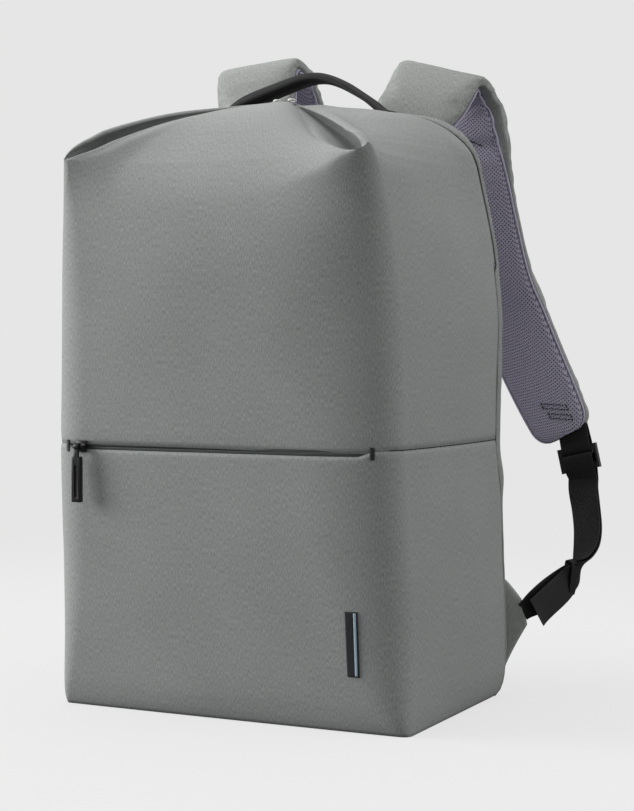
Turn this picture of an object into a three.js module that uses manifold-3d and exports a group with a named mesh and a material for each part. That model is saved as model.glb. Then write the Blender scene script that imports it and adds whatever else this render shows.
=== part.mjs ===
// A soft grey laptop backpack. One wrap of coated cloth goes round the front and the sides, is split
// by a pocket zip half way up, and closes at the top like an envelope: the side flaps lie over the front
// facet along two folds that run from the front corners to the middle of the top zip.
// Millimetres. x runs to the right as seen from the front, y to the back, z up.
import * as THREE from "three";
import { mergeVertices } from "three/addons/utils/BufferGeometryUtils.js";
import Module from "manifold-3d";

const wasm = await Module();
wasm.setup();

// Driving dimensions
const CLOTH = 2; // wall of the coated cloth
const GAP = 0.3; // clearance between neighbouring pieces
const CORNER_TOP = 415; // height of the two front top corners
const FOLD_SPAN = 100; // levels above the corners count the share of the fold, 0 to 100
const TOP = CORNER_TOP + FOLD_SPAN;
const POCKET_LINE = 200; // height of the front zip and of the pocket edge
const POCKET_ZIP_OPENING = 4.6; // height of the slit that holds the front zip
const POCKET_EDGE_GAP = 0.6; // slit left beside the zip, along the pocket edge
const POCKET_ZIP_ENDS = { left: -1.25, right: 1.25 }; // places along the wrap, see skin()
const TOP_ZIP_OPENING = 5.6; // slit between the wrap and the back band
const TOP_ZIP_START = 338; // level at which the top zip starts on both sides
const BASE_THICKNESS = 3;
const BACK_LEAN = { from: 370, reach: 92, forward: 24 }; // the back bends forward near its top
const BACK_BAND_DEPTH = 10; // the wrap's rear edge lies this far in front of the back edge
const BACK_PAD = { edge: 3, crown: 11, inside: 5 }; // back panel: rim, middle and depth inside
const HANDLE = { y: -47, width: 22, thick: 9, footThick: 3.2 };
const STRAP = { pad: 9, mesh: 1.8, seam: 0.8, crest: 30 }; // two layers, the gap between, and the crest's y
const WEB = { width: 25, thick: 1.6 };
const LOCK = { width: 33, bar: 3.6, window: 4.6, side: 3.6, thick: 5 };
const LABEL = { x: 107, z: 65, width: 9.6, height: 47, thick: 1.1, stripe: 1.9, margin: 1.1 };

// Tables: one row for each section, with named columns
const table = (columns, rows) =>
  rows.map((row) => Object.fromEntries(columns.map((name, i) => [name, row[i]])));

// The wrap's wall, a row for each height. half and depth place the front corner, round is its radius,
// back the half width at the rear edge. frontIn and frontDown draw the middle of the front in and down,
// sideOut swells the side.
const WALL = table(
  ["z", "half", "depth", "round", "back", "frontIn", "frontDown", "sideOut"],
  [
    [0, 145, 182, 5, 136, -1.5, 0, 0],
    [6, 146, 183, 7, 141, -2, 0, 0.5],
    [24, 147.5, 186, 14, 145, -3, 0, 1.5],
    [60, 149, 191, 24, 145.5, -4, 0, 2.5],
    [110, 150, 196.5, 32, 143.5, -4.5, 0, 3.5],
    [150, 150, 200, 35, 142, -4.5, 0, 4],
    [200, 148.5, 203, 36, 139.5, -4, 0, 4],
    [250, 146, 206, 36, 140.5, -4, 0, 4],
    [300, 142, 209, 33, 141, -4, 0, 3.5],
    [350, 137, 211, 26, 135.5, -2, 0.5, 2],
    [390, 131, 211.5, 14, 128, 4.5, 2, -0.5],
    [415, 127, 211, 5, 124.5, 14, 4, -2.5],
  ],
);

// The fold from a front corner to the top zip, a row for each share of its length. zone is the reach of
// the pleat to either side, valley its depth below the front facet, lips the height of the flaps' edges.
const FOLD = table(
  ["t", "z", "frontIn", "frontUp", "sideOut", "sideUp", "zone", "valley", "lipRight", "lipLeft"],
  [
    [0, 415, 14, -4, -2.5, -1, 5, 0, 0, 0],
    [0.05, 418, 12.5, -0.5, -1, 0, 9, 3, 2.5, 6],
    [0.1, 421, 11.5, 3, 1, 1.5, 13, 5, 4, 10],
    [0.17, 426.5, 12, 6, 2.5, 2.5, 16, 6, 4.5, 12],
    [0.35, 438.5, 11, 8.5, 2, 4, 17, 5, 4, 9.5],
    [0.5, 446.5, 9.5, 7, 1, 4, 15, 4, 3.5, 7],
    [0.7, 455, 6.5, 4.5, 0, 3, 11, 2.5, 2.5, 3],
    [0.85, 460.3, 3, 2.5, 0, 1.5, 7, 1.2, 1.2, 1.2],
    [1, 464.5, -0.3, 0.2, 0, 0, 3, 0, 0, 0],
  ],
);
const FOLD_PLAN = { corner: [127, -211], end: [9, -74] }; // the fold's two ends, seen from above

// The top zip and the back edge over the shoulder, at the same shares as the fold.
const SHOULDER = table(
  ["t", "zipX", "zipY", "zipZ", "backX", "backZ"],
  [
    [0, 125, -17.4, 415, 124.5, 415],
    [0.1, 122.5, -22, 425, 122.5, 424],
    [0.2, 117.5, -28.5, 434, 119.5, 433],
    [0.35, 106.5, -38, 445.3, 111, 444],
    [0.5, 91, -48, 453.6, 97.5, 453],
    [0.7, 60, -60, 460.6, 64, 459.5],
    [0.85, 33, -68.5, 463.3, 34, 461.6],
    [1, 18, -72.6, 464.3, 18, 462.4],
  ],
);

// Cross section of the pleat from the front facet to the flap: dip scales with the valley, rise and
// reach with the lip, which leans out over the facet.
const PLEAT = table(
  ["q", "dip", "rise", "reach"],
  [
    [0, 0, 0, 0],
    [0.125, 0.35, 0, 0],
    [0.25, 0.9, 0, 0],
    [0.375, 1, 0, 0],
    [0.5, 0.45, 0.2, 0.25],
    [0.625, 0, 0.85, 0.5],
    [0.75, 0, 1, 0.3],
    [0.875, 0, 0.6, 0],
    [1, 0, 0, 0],
  ],
);
const LIP_UP = { x: 0.2, y: -0.35, z: 0.9 };
const LIP_OUT = { x: -0.74, y: -0.67, z: 0 };

// A right shoulder strap from its seam on the back panel, over the shoulder and down to its end.
// tilt turns the strap about its own line, so that its outer edge lies lower, and full is the share of the
// padding, which thins out at both ends. The two straps lie differently: lift and lean move the crest,
// foot moves the seam.
const STRAP_LINE = table(
  ["x", "y", "z", "width", "tilt", "full"],
  [
    [72, 4, 420, 60, 0, 0.4],
    [72, 0.6, 436, 63, 2, 0.9],
    [72.5, 0, 450, 66, 6, 1],
    [73.5, 5, 464, 69, 11, 1],
    [75, 12, 476, 72, 13, 1],
    [76.3, 18.5, 486.5, 73, 14, 1],
    [77.5, 27, 494.5, 73, 14.5, 1],
    [78.5, 38, 498.5, 73, 14.5, 1],
    [78.5, 50, 494, 73, 14.5, 1],
    [78, 58.5, 483, 73, 13, 1],
    [79.3, 63, 466, 72, 9, 1],
    [82.5, 65, 445, 70, 6, 1],
    [87.5, 70, 415, 67, 2, 1],
    [93, 76, 378, 65, 0, 1],
    [105, 80, 328, 63, 0, 1],
    [118, 84, 296, 61, 0, 1],
    [133, 86, 263, 58, 0, 1],
    [148, 86.5, 232, 55, 0, 1],
    [158.5, 86, 211, 50, 0, 0.85],
    [161, 86, 206, 42, 0, 0.6],
  ],
);
const STRAP_SIDES = [
  { name: "right", sign: 1, lift: -6, tilt: 1, lean: -5, foot: -14 },
  { name: "left", sign: -1, lift: 8, tilt: 0.35, lean: 16, foot: 6 },
];

// The adjuster web of a right strap, from the ladder lock down to its tab. wx, wy, wz is the web's width.
const WEB_LINE = table(
  ["x", "y", "z", "wx", "wy", "wz"],
  [
    [177.7, 86, 166.7, 0.975, 0, 0.22],
    [178.4, 84.2, 158, 0.97, -0.05, 0.15],
    [182.5, 79, 143.6, 0.97, -0.1, 0.05],
    [187, 71, 128.2, 0.97, -0.15, 0],
    [189.5, 62, 115.5, 0.93, -0.2, 0.15],
    [189.3, 54, 105.5, 0.75, -0.3, 0.55],
    [187.2, 48, 97.8, 0.4, -0.3, 0.85],
    [183, 41, 91.3, 0.1, -0.3, 0.93],
    [176.3, 32, 84.3, -0.05, -0.2, 0.97],
    [164, 14, 72.6, 0, -0.1, 0.98],
    [157.4, 6.2, 66.4, 0, 0, 1],
  ],
);
const TAIL = { layers: 2.8, drop: 8, away: 6, keeper: 7, free: 7, end: 9 }; // the last three are rows
const LOCK_CENTRE = [174, 86, 183.2];
const LOCK_DOWN = [0.22, 0, -0.975];
const LOCK_ACROSS = [0.975, 0, 0.22];
const LOCK_FRONT = [0, -1, 0];
const TAB = { top: 92, bottom: 14, tip: 55, inner: 143.4, reach: 14, y: 0.35, thick: 6 };

// Materials
const cloth = (color, roughness = 0.9) =>
  new THREE.MeshStandardMaterial({ color, roughness, metalness: 0 });
const GREY_CLOTH = cloth(0x7e807f);
const BAND_CLOTH = cloth(0x747675);
const STRAP_CLOTH = cloth(0x8a8c8b);
const MESH_CLOTH = cloth(0x6f6b80, 0.95);
const WEBBING = cloth(0x141414, 0.85);
const ZIP_TAPE = cloth(0x3b423f, 0.7);
const PALE_CORD = cloth(0xd4d4d0, 0.8);
const BLACK_METAL = new THREE.MeshStandardMaterial({ color: 0x171818, roughness: 0.45, metalness: 0.5 });
const BLACK_PLASTIC = cloth(0x121212, 0.5);
const LABEL_BLACK = cloth(0x202224, 0.7);
const LABEL_BLUE = cloth(0x9fb6c4, 0.7);

// Small maths
const vec = (x, y, z) => new THREE.Vector3(x, y, z);
const clamp = THREE.MathUtils.clamp;
const smoothstep = THREE.MathUtils.smoothstep;
const lerp = THREE.MathUtils.lerp;

// A column of a table at any value of its key, on a smooth curve through the rows.
function at(rows, key, column, value) {
  const last = rows.length - 1;
  let i = 0;
  while (i < last - 1 && value > rows[i + 1][key]) i += 1;
  const slope = (k) => {
    const a = Math.max(k - 1, 0);
    const b = Math.min(k + 1, last);
    return (rows[b][column] - rows[a][column]) / (rows[b][key] - rows[a][key]);
  };
  const span = rows[i + 1][key] - rows[i][key];
  const s = clamp((value - rows[i][key]) / span, 0, 1);
  const s2 = s * s;
  const s3 = s2 * s;
  return (
    (2 * s3 - 3 * s2 + 1) * rows[i][column] +
    (s3 - 2 * s2 + s) * span * slope(i) +
    (3 * s2 - 2 * s3) * rows[i + 1][column] +
    (s3 - s2) * span * slope(i + 1)
  );
}

// The surface of the wrap
const lean = (z) => -BACK_LEAN.forward * (Math.max(z - BACK_LEAN.from, 0) / BACK_LEAN.reach) ** 2;

// The guide points of one level on one side: the middle of the front, the corner or fold, the edge at the
// top zip, and the pleat's sizes.
function guides(level, sign) {
  if (level <= CORNER_TOP) {
    const wall = (column) => at(WALL, "z", column, level);
    const edgeDepth = BACK_BAND_DEPTH + 1.6 * smoothstep(level, TOP_ZIP_START, CORNER_TOP);
    return {
      middle: vec(0, wall("frontIn") - wall("depth"), level - wall("frontDown")),
      corner: vec(sign * wall("half"), -wall("depth"), level),
      edge: vec(sign * (wall("back") + 0.5), lean(level) - edgeDepth, level),
      swell: vec(sign * wall("sideOut"), 0, 0),
      zone: wall("round"),
      valley: 0,
      lip: 0,
    };
  }
  const t = (level - CORNER_TOP) / FOLD_SPAN;
  const fold = (column) => at(FOLD, "t", column, t);
  const shoulder = (column) => at(SHOULDER, "t", column, t);
  const x = lerp(FOLD_PLAN.corner[0], FOLD_PLAN.end[0], t);
  const y = lerp(FOLD_PLAN.corner[1], FOLD_PLAN.end[1], t);
  return {
    middle: vec(0, y + fold("frontIn"), fold("z") + fold("frontUp")),
    corner: vec(sign * x, y, fold("z")),
    edge: vec(sign * shoulder("zipX"), shoulder("zipY"), shoulder("zipZ")),
    swell: vec(sign * fold("sideOut"), 0, fold("sideUp")),
    zone: fold("zone"),
    valley: fold("valley"),
    lip: fold(sign > 0 ? "lipRight" : "lipLeft"),
  };
}

// A point of the wrap's outer surface. place runs from the middle of the front, 0, to the corner zone,
// 1 to 2, and along the side to the rear edge, 3; negative on the left. pleated adds the fold's profile.
function skin(level, place, pleated = true) {
  const sign = place < 0 ? -1 : 1;
  const a = Math.abs(place);
  const g = guides(level, sign);
  const frontEnd = g.corner.clone().add(vec(-sign * g.zone, 0, 0));
  if (a <= 1) {
    const pull = 1 - a ** 3;
    return vec(
      frontEnd.x * a,
      lerp(frontEnd.y, g.middle.y, pull),
      lerp(frontEnd.z, g.middle.z, pull),
    );
  }
  const sideStart = g.corner.clone().lerp(g.edge, Math.min(g.zone / g.corner.distanceTo(g.edge), 0.4));
  if (a >= 2) {
    const w = a - 2;
    return sideStart.lerp(g.edge, w).addScaledVector(g.swell, 4 * w * (1 - w));
  }
  const q = a - 1;
  const point = new THREE.QuadraticBezierCurve3(frontEnd, g.corner, sideStart).getPoint(q);
  if (!pleated || level <= CORNER_TOP) return point;
  const profile = (column) => at(PLEAT, "q", column, q);
  const rise = g.lip * profile("rise") - g.valley * profile("dip");
  const reach = g.lip * profile("reach");
  return point.add(
    vec(
      sign * (LIP_UP.x * rise + LIP_OUT.x * reach),
      LIP_UP.y * rise + LIP_OUT.y * reach,
      LIP_UP.z * rise,
    ),
  );
}

// The inner face of the wrap: the unpleated surface moved in by the cloth, and past the pleat's valley.
function lining(level, place) {
  const step = 0.02;
  const low = Math.max(level - 1.5, 0);
  const high = Math.min(level + 1.5, TOP);
  const left = skin(level, Math.max(place - step, -3), false);
  const right = skin(level, Math.min(place + step, 3), false);
  const along = right.sub(left);
  const upward = skin(high, place, false).sub(skin(low, place, false));
  const inward = upward.cross(along).normalize();
  const a = Math.abs(place);
  const fold = level > CORNER_TOP && a > 1 && a < 2 ? Math.sin((a - 1) * Math.PI) : 0;
  const depth = CLOTH + fold * guides(level, Math.sign(place)).valley;
  return skin(level, place, false).addScaledVector(inward, depth);
}

// Geometry builders
function geometryOf(points, triangles) {
  const geometry = new THREE.BufferGeometry();
  const numbers = points.flatMap((p) => p.toArray());
  geometry.setAttribute("position", new THREE.Float32BufferAttribute(numbers, 3));
  geometry.setIndex(triangles.flat());
  geometry.computeVertexNormals();
  return geometry;
}

// A closed sheet between two grids of points of the same size. front[i][j] faces out, with i upwards and
// j to the right as seen from outside.
function sheetGeometry(front, back) {
  const rows = front.length;
  const columns = front[0].length;
  const points = [...front.flat(), ...back.flat()];
  const id = (side, i, j) => side * rows * columns + i * columns + j;
  const triangles = [];
  const quad = (a, b, c, d) => triangles.push([a, b, c], [a, c, d]);
  for (let i = 0; i < rows - 1; i += 1) {
    for (let j = 0; j < columns - 1; j += 1) {
      quad(id(0, i, j), id(0, i, j + 1), id(0, i + 1, j + 1), id(0, i + 1, j));
      quad(id(1, i, j), id(1, i + 1, j), id(1, i + 1, j + 1), id(1, i, j + 1));
    }
    quad(id(0, i, 0), id(0, i + 1, 0), id(1, i + 1, 0), id(1, i, 0));
    const end = columns - 1;
    quad(id(0, i, end), id(1, i, end), id(1, i + 1, end), id(0, i + 1, end));
  }
  for (let j = 0; j < columns - 1; j += 1) {
    const end = rows - 1;
    quad(id(0, 0, j), id(1, 0, j), id(1, 0, j + 1), id(0, 0, j + 1));
    quad(id(0, end, j), id(0, end, j + 1), id(1, end, j + 1), id(1, end, j));
  }
  return geometryOf(points, triangles);
}

// A closed body through rings of points, each ring counter-clockwise when looking along the body. other
// picks the quads, by ring and place in the ring, that are split along their other diagonal.
function ringGeometry(rings, mirrored = false, other = () => false) {
  const count = rings[0].length;
  const triangles = [];
  const push = (a, b, c) => triangles.push(mirrored ? [a, c, b] : [a, b, c]);
  for (let i = 0; i < rings.length - 1; i += 1) {
    for (let j = 0; j < count; j += 1) {
      const a = i * count + j;
      const b = i * count + ((j + 1) % count);
      push(a, b, other(i, j) ? a + count : b + count);
      push(other(i, j) ? b : a, b + count, a + count);
    }
  }
  const end = (rings.length - 1) * count;
  for (let j = 1; j < count - 1; j += 1) {
    push(0, j + 1, j);
    push(end, end + j, end + j + 1);
  }
  return geometryOf(rings.flat(), triangles);
}

function manifoldOf(geometry) {
  const bare = geometry.index ? geometry.toNonIndexed() : geometry.clone();
  bare.deleteAttribute("normal");
  bare.deleteAttribute("uv");
  const merged = mergeVertices(bare, 1e-4);
  const vertProperties = new Float32Array(merged.getAttribute("position").array);
  return new wasm.Manifold(
    new wasm.Mesh({ numProp: 3, vertProperties, triVerts: new Uint32Array(merged.index.array) }),
  );
}

function joined(...geometries) {
  const solid = geometries.map(manifoldOf).reduce((sum, next) => sum.add(next));
  const mesh = solid.getMesh();
  const geometry = new THREE.BufferGeometry();
  geometry.setAttribute("position", new THREE.BufferAttribute(mesh.vertProperties, 3));
  geometry.setIndex(new THREE.BufferAttribute(mesh.triVerts, 1));
  geometry.computeVertexNormals();
  return geometry;
}

function rectangle(shape, width, height, x = 0, y = 0) {
  shape.moveTo(x - width / 2, y - height / 2);
  shape.lineTo(x + width / 2, y - height / 2);
  shape.lineTo(x + width / 2, y + height / 2);
  shape.lineTo(x - width / 2, y + height / 2);
  shape.closePath();
  return shape;
}

const plate = (shape, depth) =>
  new THREE.ExtrudeGeometry(shape, { depth, bevelEnabled: false, curveSegments: 6 });

const bag = new THREE.Group();
function add(name, geometry, material) {
  const mesh = new THREE.Mesh(geometry, material);
  mesh.name = name;
  bag.add(mesh);
  return mesh;
}

// Places along the wrap from the left rear edge to the right one
const FRONT_STEPS = 5;
const CORNER_STEPS = PLEAT.length - 1;
const SIDE_STEPS = 6;
const halfPlaces = [
  ...Array.from({ length: FRONT_STEPS }, (_, i) => i / FRONT_STEPS),
  ...Array.from({ length: CORNER_STEPS }, (_, i) => 1 + i / CORNER_STEPS),
  ...Array.from({ length: SIDE_STEPS + 1 }, (_, i) => 2 + i / SIDE_STEPS),
];
const PLACES = [...halfPlaces.slice(1).reverse().map((p) => -p), ...halfPlaces];

// The slit along the pocket line: open for the zip on the front, nearly closed along the sides.
const UPPER_HEM = POCKET_LINE + POCKET_ZIP_OPENING / 2;
function lowerHem(place) {
  const outside = place < 0 ? POCKET_ZIP_ENDS.left - place : place - POCKET_ZIP_ENDS.right;
  const closed = smoothstep(outside, 0, 0.2);
  return lerp(POCKET_LINE - POCKET_ZIP_OPENING / 2, UPPER_HEM - POCKET_EDGE_GAP, closed);
}

const wrapSheet = (levels) =>
  sheetGeometry(
    levels.map((level) => PLACES.map((place) => skin(level(place), place))),
    levels.map((level) => PLACES.map((place) => lining(level(place), place))),
  );

const LOWER_SHARES = [0, 0.02, 0.05, 0.14, 0.3, 0.5, 0.75, 1];
const WALL_LEVELS = [232, 268, 304, 338, 366, 388, 403, 415];
const FOLD_SHARES = [0.04, 0.09, 0.15, 0.22, 0.31, 0.42, 0.54, 0.67, 0.8, 0.91, 1];
const UPPER_LEVELS = [
  UPPER_HEM,
  ...WALL_LEVELS,
  ...FOLD_SHARES.map((t) => CORNER_TOP + FOLD_SPAN * t),
];
add("lower_shell", wrapSheet(LOWER_SHARES.map((s) => (place) => s * lowerHem(place))), GREY_CLOTH);
add("upper_shell", wrapSheet(UPPER_LEVELS.map((level) => () => level)), GREY_CLOTH);

// Base panel inside the foot of the wrap
function basePanel() {
  const inset = CLOTH + 2 * GAP;
  const outline = PLACES.map((place) => {
    const p = skin(BASE_THICKNESS, place).lerp(skin(0, place), 0.5);
    const inward = vec(0, -90, p.z).sub(p).normalize();
    return p.addScaledVector(inward, inset * 1.7);
  });
  const rear = outline[outline.length - 1].x;
  outline.push(vec(rear, -2 * GAP, 0), vec(-rear, -2 * GAP, 0));
  const shape = new THREE.Shape(outline.map((p) => new THREE.Vector2(p.x, p.y)));
  return plate(shape, BASE_THICKNESS);
}
add("base_panel", basePanel(), GREY_CLOTH);

// Back edge, band and panel
function backEdge(level, sign) {
  if (level <= CORNER_TOP) return vec(sign * at(WALL, "z", "back", level), lean(level), level);
  const t = (level - CORNER_TOP) / FOLD_SPAN;
  const z = at(SHOULDER, "t", "backZ", t);
  return vec(sign * at(SHOULDER, "t", "backX", t), lean(z), z);
}

const BACK_LEVELS = [0, 6, 14, 26, 60, 130, 200, 270, 318, ...UPPER_LEVELS.slice(4)];
const topRow = PLACES.filter((place) => Math.abs(place) < 3).map((place) => skin(TOP, place));
const topMiddle = topRow.map((p) => vec(p.x, 0, 0));

// Stations of the band from the left foot over the top to the right foot, each with the wrap's edge and
// the back edge, and the width of the slit between the wrap and the band.
function bandStations(levels) {
  const slit = (level) =>
    lerp(2 * GAP, TOP_ZIP_OPENING, smoothstep(level, TOP_ZIP_START - 8, TOP_ZIP_START));
  const side = (sign) =>
    levels.map((level) => ({
      edge: guides(level, sign).edge,
      back: backEdge(level, sign),
      slit: slit(level),
    }));
  const middleBack = (x) => {
    const end = backEdge(TOP, 1);
    return vec(x, end.y, end.z);
  };
  const middle = topRow.map((p, i) => ({
    edge: p,
    back: middleBack(topMiddle[i].x),
    slit: TOP_ZIP_OPENING,
  }));
  return [...side(-1), ...middle, ...side(1).reverse()];
}

// A strip across those stations between two shares of the way, sunk below the surface and given a wall.
function strip(stations, across, sink, wall) {
  const grid = stations.map((s, i) => across.map((share) => share(s, i)));
  const normals = grid.map((row, i) =>
    row.map((_, j) => {
      const along = grid[Math.min(i + 1, grid.length - 1)][j].clone();
      along.sub(grid[Math.max(i - 1, 0)][j]);
      const over = row[row.length - 1].clone().sub(row[0]);
      return along.cross(over).normalize();
    }),
  );
  const layer = (depth) =>
    across.map((_, j) => grid.map((row, i) => row[j].clone().addScaledVector(normals[i][j], -depth)));
  return sheetGeometry(layer(sink), layer(sink + wall));
}

const slitSide = (s, share) => s.edge.clone().add(vec(0, s.slit * share, 0));
const bandShare = (share) => (s) => slitSide(s, 1).lerp(s.back, share);
const bandRow = bandStations(BACK_LEVELS);
add("back_band", strip(bandRow, [0, 0.35, 0.7, 1].map(bandShare), 0, CLOTH), BAND_CLOTH);

const zipRow = bandStations(BACK_LEVELS.filter((level) => level >= TOP_ZIP_START));
const zipShare = (share) => (s) => slitSide(s, share);
const zipMargin = (2 * GAP) / TOP_ZIP_OPENING;
add("main_zip", strip(zipRow, [zipMargin, 1 - zipMargin].map(zipShare), 0.5, CLOTH - 0.5), ZIP_TAPE);

// The padded back panel fills the band and swells to the rear, towards a spine up its middle.
function backPanel() {
  const inset = CLOTH + 4 * GAP;
  const rim = bandRow.map((s) => s.back);
  const rims = rim.map((p, i) => {
    const along = rim[Math.min(i + 1, rim.length - 1)].clone().sub(rim[Math.max(i - 1, 0)]);
    const inward = vec(along.z, 0, -along.x).normalize();
    return p.clone().addScaledVector(inward, inset);
  });
  rims.forEach((p) => {
    p.z = Math.max(p.z, BASE_THICKNESS + 2 * GAP);
  });
  const spine = (p, share) => vec(p.x * (1 - share), 0, lerp(p.z, clamp(p.z, 120, 360), share));
  const ring = (share, y) =>
    rims.map((p) => {
      const q = spine(p, share);
      return vec(q.x, lean(q.z) + y, q.z);
    });
  const inside = [ring(0.8, -BACK_PAD.inside), ring(0, -BACK_PAD.inside), ring(0, 0)];
  const rear = [
    ring(0.03, BACK_PAD.edge),
    ring(0.16, BACK_PAD.crown * 0.62),
    ring(0.45, BACK_PAD.crown * 0.9),
    ring(0.8, BACK_PAD.crown),
  ];
  return ringGeometry([...inside, ...rear]);
}
add("back_panel", backPanel(), MESH_CLOTH);

// Front zip in the slit of the pocket line
function pocketZip() {
  const count = 26;
  const places = Array.from({ length: count + 1 }, (_, i) =>
    lerp(POCKET_ZIP_ENDS.left, POCKET_ZIP_ENDS.right, i / count),
  );
  const half = POCKET_ZIP_OPENING / 2 - GAP;
  const levels = [POCKET_LINE - half, POCKET_LINE + half];
  const layer = (share) =>
    levels.map((level) => places.map((place) => skin(level, place).lerp(lining(level, place), share)));
  return sheetGeometry(layer(0.35), layer(1));
}
add("front_zip", pocketZip(), ZIP_TAPE);

// A small box standing on the wrap, its face turned to the surface
function onWrap(geometry, level, place, proud) {
  const out = skin(level, place).sub(lining(level, place)).normalize();
  const up = vec(0, 0, 1);
  const right = up.clone().cross(out).negate().normalize();
  const top = out.clone().cross(right).negate().normalize();
  const spot = skin(level, place).addScaledVector(out, proud);
  const turn = new THREE.Matrix4().makeBasis(right, top, right.clone().cross(top)).setPosition(spot);
  return geometry.applyMatrix4(turn);
}

const BARTACK = { width: 2.6, height: 10, thick: 1 };
[
  ["bartack_left", POCKET_ZIP_ENDS.left],
  ["bartack_right", POCKET_ZIP_ENDS.right],
].forEach(([name, place]) => {
  const box = new THREE.BoxGeometry(BARTACK.width, BARTACK.height, BARTACK.thick);
  add(name, onWrap(box, POCKET_LINE, place, BARTACK.thick / 2 + 2 * GAP), WEBBING);
});

// Front zip slider with a bridge, and the pull that hangs on it
const SLIDER = { place: -1.02, width: 9, height: 8.5, thick: 2.4, bar: 1.8, window: [6, 3.4] };
const PULL = { eye: 2.7, hole: 1.6, eyeWidth: 4, neck: 7, width: 7.4, length: 34, thick: 4.2 };
const PULL_NECK = 2.2;
const PULL_SLOT = [2.8, 24];
const sliderSeat = skin(POCKET_LINE, SLIDER.place);
const sliderFace = sliderSeat.y - GAP - 0.6;
const hingeY = sliderFace - SLIDER.thick - SLIDER.window[1] - SLIDER.bar / 2;
const HINGE = vec(sliderSeat.x, hingeY, POCKET_LINE);

function slider() {
  const body = new THREE.BoxGeometry(SLIDER.width, SLIDER.thick, SLIDER.height);
  body.translate(0, sliderFace - SLIDER.thick / 2, 0);
  const [windowWidth, windowDepth] = SLIDER.window;
  const depth = windowDepth + SLIDER.bar + 1;
  const bridge = rectangle(new THREE.Shape(), SLIDER.width, depth, 0, depth / 2);
  bridge.holes.push(rectangle(new THREE.Path(), windowWidth, windowDepth, 0, 1 + windowDepth / 2));
  const staple = plate(bridge, SLIDER.bar);
  staple.translate(0, 0, -SLIDER.bar / 2);
  staple.rotateX(Math.PI);
  staple.translate(0, sliderFace - SLIDER.thick + 1, 0);
  return joined(body, staple).translate(HINGE.x, 0, HINGE.z);
}
add("front_zip_slider", slider(), BLACK_METAL);

function pull() {
  const eye = new THREE.Shape();
  eye.absarc(0, 0, PULL.eye, Math.PI * 0.75, Math.PI * 2.25, false);
  eye.absarc(0, 0, PULL.eye, Math.PI * 0.25, Math.PI * 0.75, false);
  eye.holes.push(new THREE.Path().absarc(0, 0, PULL.hole, 0, Math.PI * 2, true));
  const ring = plate(eye, PULL.eyeWidth);
  ring.translate(0, 0, -PULL.eyeWidth / 2);
  ring.rotateZ(Math.PI / 2);
  ring.rotateY(Math.PI / 2);
  const back = -PULL.eye; // the blade lies on the outer side of the eye
  const neck = new THREE.BoxGeometry(PULL.eyeWidth, PULL_NECK, PULL.neck);
  neck.translate(0, back + PULL_NECK / 2, -PULL.hole - 0.6 - PULL.neck / 2);
  const blade = rectangle(new THREE.Shape(), PULL.width, PULL.length, 0, -PULL.length / 2);
  blade.holes.push(rectangle(new THREE.Path(), ...PULL_SLOT, 0, -PULL.length * 0.55));
  const flat = plate(blade, PULL.thick);
  flat.rotateX(Math.PI / 2);
  flat.translate(0, back + PULL.thick, -PULL.hole - PULL.neck + 1);
  return joined(ring, neck, flat).translate(HINGE.x, HINGE.y, HINGE.z);
}
add("front_zip_pull", pull(), BLACK_METAL);

// Label near the front's lower right corner, with a stripe beside its right edge
function onFront(width, height, thick, x, z, proud) {
  const half = guides(z, 1);
  const place = x / (half.corner.x - half.zone);
  return onWrap(new THREE.BoxGeometry(width, height, thick), z, place, proud + thick / 2);
}
const stripeX = LABEL.x + LABEL.width / 2 - LABEL.margin - LABEL.stripe / 2;
add(
  "label_patch",
  onFront(LABEL.width, LABEL.height, LABEL.thick, LABEL.x, LABEL.z, 2 * GAP),
  LABEL_BLACK,
);
add(
  "label_stripe",
  onFront(LABEL.stripe, LABEL.height - 2, 0.6, stripeX, LABEL.z, 3 * GAP + LABEL.thick),
  LABEL_BLUE,
);

// A flat oval section: width along one direction, thickness along the other
function ovalRing(centre, across, over, width, thick, edge = 0.5) {
  const w = width / 2;
  const h = thick / 2;
  const r = Math.min(thick * edge, w);
  const corners = [
    [w, 0],
    [w - r * 0.3, h * 0.7],
    [w - r, h],
    [0, h],
    [r - w, h],
    [r * 0.3 - w, h * 0.7],
    [-w, 0],
    [r * 0.3 - w, -h * 0.7],
    [r - w, -h],
    [0, -h],
    [w - r, -h],
    [w - r * 0.3, -h * 0.7],
  ];
  return corners.map(([a, b]) => centre.clone().addScaledVector(across, a).addScaledVector(over, b));
}

// A frame along a line of points: the way along, the given width made square to it, and the normal
function frameAt(points, i, width) {
  const along = points[Math.min(i + 1, points.length - 1)].clone();
  along.sub(points[Math.max(i - 1, 0)]).normalize();
  const over = along.clone().cross(width).normalize();
  return { along, over, across: over.clone().cross(along).normalize() };
}

// Top handle: webbing rolled in the middle and flat at its two feet on the band
function handle() {
  const arch = table(
    ["x", "z", "roll"],
    [
      [-68, 461.4, 0],
      [-57, 463.6, 0.1],
      [-47, 471, 0.6],
      [-34, 478, 1],
      [-18, 483.5, 1],
      [0, 485.4, 1],
      [18, 483.5, 1],
      [34, 477.5, 1],
      [47, 470, 0.6],
      [57, 463.6, 0.1],
      [68, 461.4, 0],
    ],
  );
  const points = arch.map((row) => vec(row.x, HANDLE.y, row.z));
  const rings = arch.map((row, i) => {
    const frame = frameAt(points, i, vec(0, 1, 0));
    const thick = lerp(HANDLE.footThick, HANDLE.thick, row.roll);
    return ovalRing(points[i], frame.across, frame.over, HANDLE.width, thick, 0.9);
  });
  return ringGeometry(rings);
}
add("top_handle", handle(), WEBBING);

// Small pale cord pulls on the two sliders of the top zip, near its middle
[
  ["main_zip_pull_left", -21],
  ["main_zip_pull_right", -8],
].forEach(([name, x]) => {
  const loop = new THREE.TorusGeometry(2.8, 0.8, 6, 12);
  loop.rotateX(Math.PI / 2 - 0.5);
  add(name, loop, PALE_CORD).position.set(x, -68.6, 467.9);
});

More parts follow.
